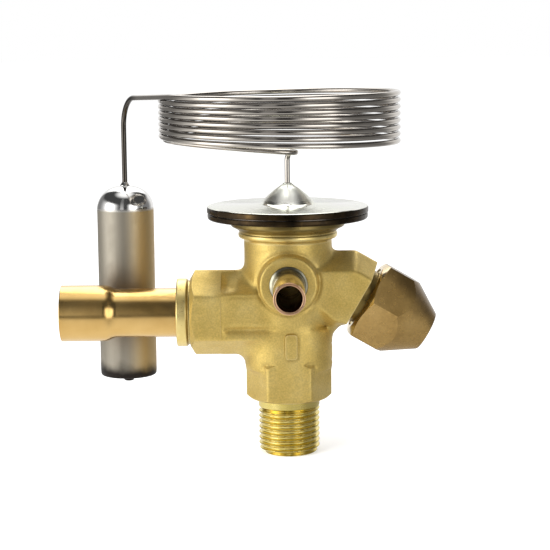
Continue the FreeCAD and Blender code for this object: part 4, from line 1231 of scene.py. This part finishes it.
def floor():
    """White floor that keeps the shadow, with a brightness of its own in reflections."""
    mesh = block((-FLOOR_REACH, -FLOOR_REACH, FLOOR_Z - FLOOR_THICKNESS),
                 (FLOOR_REACH, FLOOR_REACH, FLOOR_Z))
    mesh.transform(Matrix.Scale(MM, 4))
    n = start_material("floor", (0.80, 0.80, 0.80), 0.0, 0.9)
    n.preset("Specular IOR Level", 0.0)
    n.preset("Emission Color", (1, 1, 1, 1))
    n.preset("Emission Strength", FLOOR_GLOW)
    x = n.axis_value("X")
    y = n.axis_value("Y")
    reach = n.math("SQRT", n.plus(n.times(x, x), n.times(y, y)))
    far = n.between(reach, FLOOR_NEAR * MM, FLOOR_FAR * MM, 0.0, 1.0, True)
    near = n.between(n.math("DIVIDE", x, reach), -1.0, 1.0, FLOOR_GLOSS_LEFT, FLOOR_GLOSS_RIGHT)
    shade = n.mixed(far, near, horizon_light(n, x, y))
    seen = n.add("ShaderNodeEmission")
    n.link(shade, seen.inputs["Color"])
    path = n.add("ShaderNodeLightPath")
    choice = n.add("ShaderNodeMixShader")
    n.link(path.outputs["Is Glossy Ray"], choice.inputs["Fac"])
    n.link(n.shader.outputs["BSDF"], choice.inputs[1])
    n.link(seen.outputs["Emission"], choice.inputs[2])
    n.link(choice.outputs["Shader"], n.tree.nodes["Material Output"].inputs["Surface"])
    mesh.materials.append(n.owner)
    placed("floor", mesh)


# What metal sees round the horizon, as azimuth in degrees from the camera's side and brightness
HORIZON = [(-180, 1.0), (-160, 1.0), (-150, 0.25), (-120, 0.25), (-105, 0.5), (-90, 1.0), (-76, 3.0),
           (-54, 3.2), (-42, 1.3), (-31, 0.5), (-20, 0.06), (-14, 0.22), (-7, 0.22), (-2, 0.03), (10, 0.03),
           (18, 0.7), (27, 2.2), (48, 2.2), (59, 0.35), (72, 0.2), (100, 0.2), (118, 0.25), (130, 0.6),
           (142, 1.0), (180, 1.0)]

# The world above the horizon, in degrees: panels, overhead light, backdrop behind and the dark gap's strip
PANEL_TOP = 26.0
PANEL_FADE = 8.0
OVERHEAD_START = 56.0
OVERHEAD_FULL = 80.0
OVERHEAD_LEVEL = 1.3
BACKDROP_START = 140.0
BACKDROP_FULL = 155.0
BACKDROP_HIGH = 3.4
BACKDROP_LOW_END = 20.0
BACKDROP_HIGH_START = 45.0
GAP_LOW = 0.6
GAP_HIGH = 0.2
GAP_AROUND = 0.06
GAP_AZIMUTH = -10.0
GAP_HALF = 5.0
GAP_FADED = 10.0
GAP_TOP = 40.0
FILL_LEVEL = 0.7


def azimuth_of(n, x, y):
    """Degrees from the camera's side for a direction's x and y, from -180 to 180."""
    return n.times(n.math("ARCTAN2", x, n.times(y, -1.0)), 180 / pi)


def horizon_light(n, x, y):
    """Brightness round the horizon for a direction's x and y."""
    stops = [(0.5 + degrees / 360, (value, value, value)) for degrees, value in HORIZON]
    return n.ramp(n.between(azimuth_of(n, x, y), -180.0, 180.0, 0.0, 1.0), stops)


def studio_world():
    """White for the camera. Metal sees a white backdrop, an overhead light, two panels and dark gaps."""
    world = bpy.data.worlds.new("studio")
    bpy.context.scene.world = world
    world.use_nodes = True
    n = Nodes(world)
    direction = n.place.outputs["Generated"]
    x = n.axis_value("X", direction)
    y = n.axis_value("Y", direction)
    z = n.axis_value("Z", direction)
    elevation = n.times(n.math("ARCSINE", z), 180 / pi)
    low = n.between(elevation, PANEL_TOP - PANEL_FADE, PANEL_TOP + PANEL_FADE, 1.0, 0.0, True)
    panels = n.times(horizon_light(n, x, y), low)
    overhead = n.between(elevation, OVERHEAD_START, OVERHEAD_FULL, 0.0, OVERHEAD_LEVEL, True)
    azimuth = azimuth_of(n, x, y)
    behind = n.between(n.math("ABSOLUTE", azimuth), BACKDROP_START, BACKDROP_FULL, 0.0, 1.0, True)
    rise = n.between(elevation, BACKDROP_LOW_END, BACKDROP_HIGH_START, 1.0, BACKDROP_HIGH, True)
    light = n.math("MAXIMUM", n.math("MAXIMUM", panels, overhead), n.times(behind, rise))
    off_strip = n.math("ABSOLUTE", n.math("SUBTRACT", azimuth, GAP_AZIMUTH))
    strip = n.times(n.between(elevation, 0.0, GAP_TOP, GAP_LOW, GAP_HIGH),
                   n.between(off_strip, GAP_HALF, GAP_FADED, 1.0, 0.0, True))
    level = n.math("MAXIMUM", light, n.math("MAXIMUM", strip, GAP_AROUND))
    path = n.add("ShaderNodeLightPath")
    glossy = path.outputs["Is Glossy Ray"]
    diffuse = path.outputs["Is Diffuse Ray"]
    rest = n.math("SUBTRACT", 1.0, n.plus(glossy, diffuse))
    lit = n.plus(n.times(glossy, level), n.times(diffuse, FILL_LEVEL))
    strength = n.plus(lit, rest)
    background = world.node_tree.nodes["Background"]
    background.inputs["Color"].default_value = (1, 1, 1, 1)
    n.link(strength, background.inputs["Strength"])


def area_light(name, place, size, power):
    """Rectangular lamp that no metal reflects."""
    data = bpy.data.lights.new(name, "AREA")
    data.shape = "RECTANGLE"
    data.size, data.size_y = size
    data.energy = power
    obj = placed(name, data)
    obj.location = place
    obj.rotation_euler = (LIGHT_AIM - Vector(place)).to_track_quat("-Z", "Y").to_euler()
    obj.visible_glossy = False


def camera():
    """Straight in front, tilted down by ELEVATION and rolled a little, as in the photo."""
    data = bpy.data.cameras.new("camera")
    data.sensor_width = SENSOR
    data.lens = SENSOR * DISTANCE * PX_PER_MM / IMAGE_SIZE
    data.clip_start = 0.01
    data.clip_end = 20
    obj = placed("camera", data)
    elevation = radians(ELEVATION)
    back = Vector((0, -cos(elevation), sin(elevation)))
    obj.location = (TARGET + back * DISTANCE) * MM
    turn = (-back).to_track_quat("-Z", "Y").to_matrix() @ Matrix.Rotation(radians(-ROLL), 3, "Z")
    obj.rotation_euler = turn.to_euler()
    bpy.context.scene.camera = obj


floor()
studio_world()
area_light("key", (-0.5, -0.5, 0.55), (0.5, 0.5), 4.6)
area_light("top", (0.1, 0.1, 0.8), (0.6, 0.6), 2.0)
camera()
bpy.context.scene.view_settings.view_transform = "Standard"
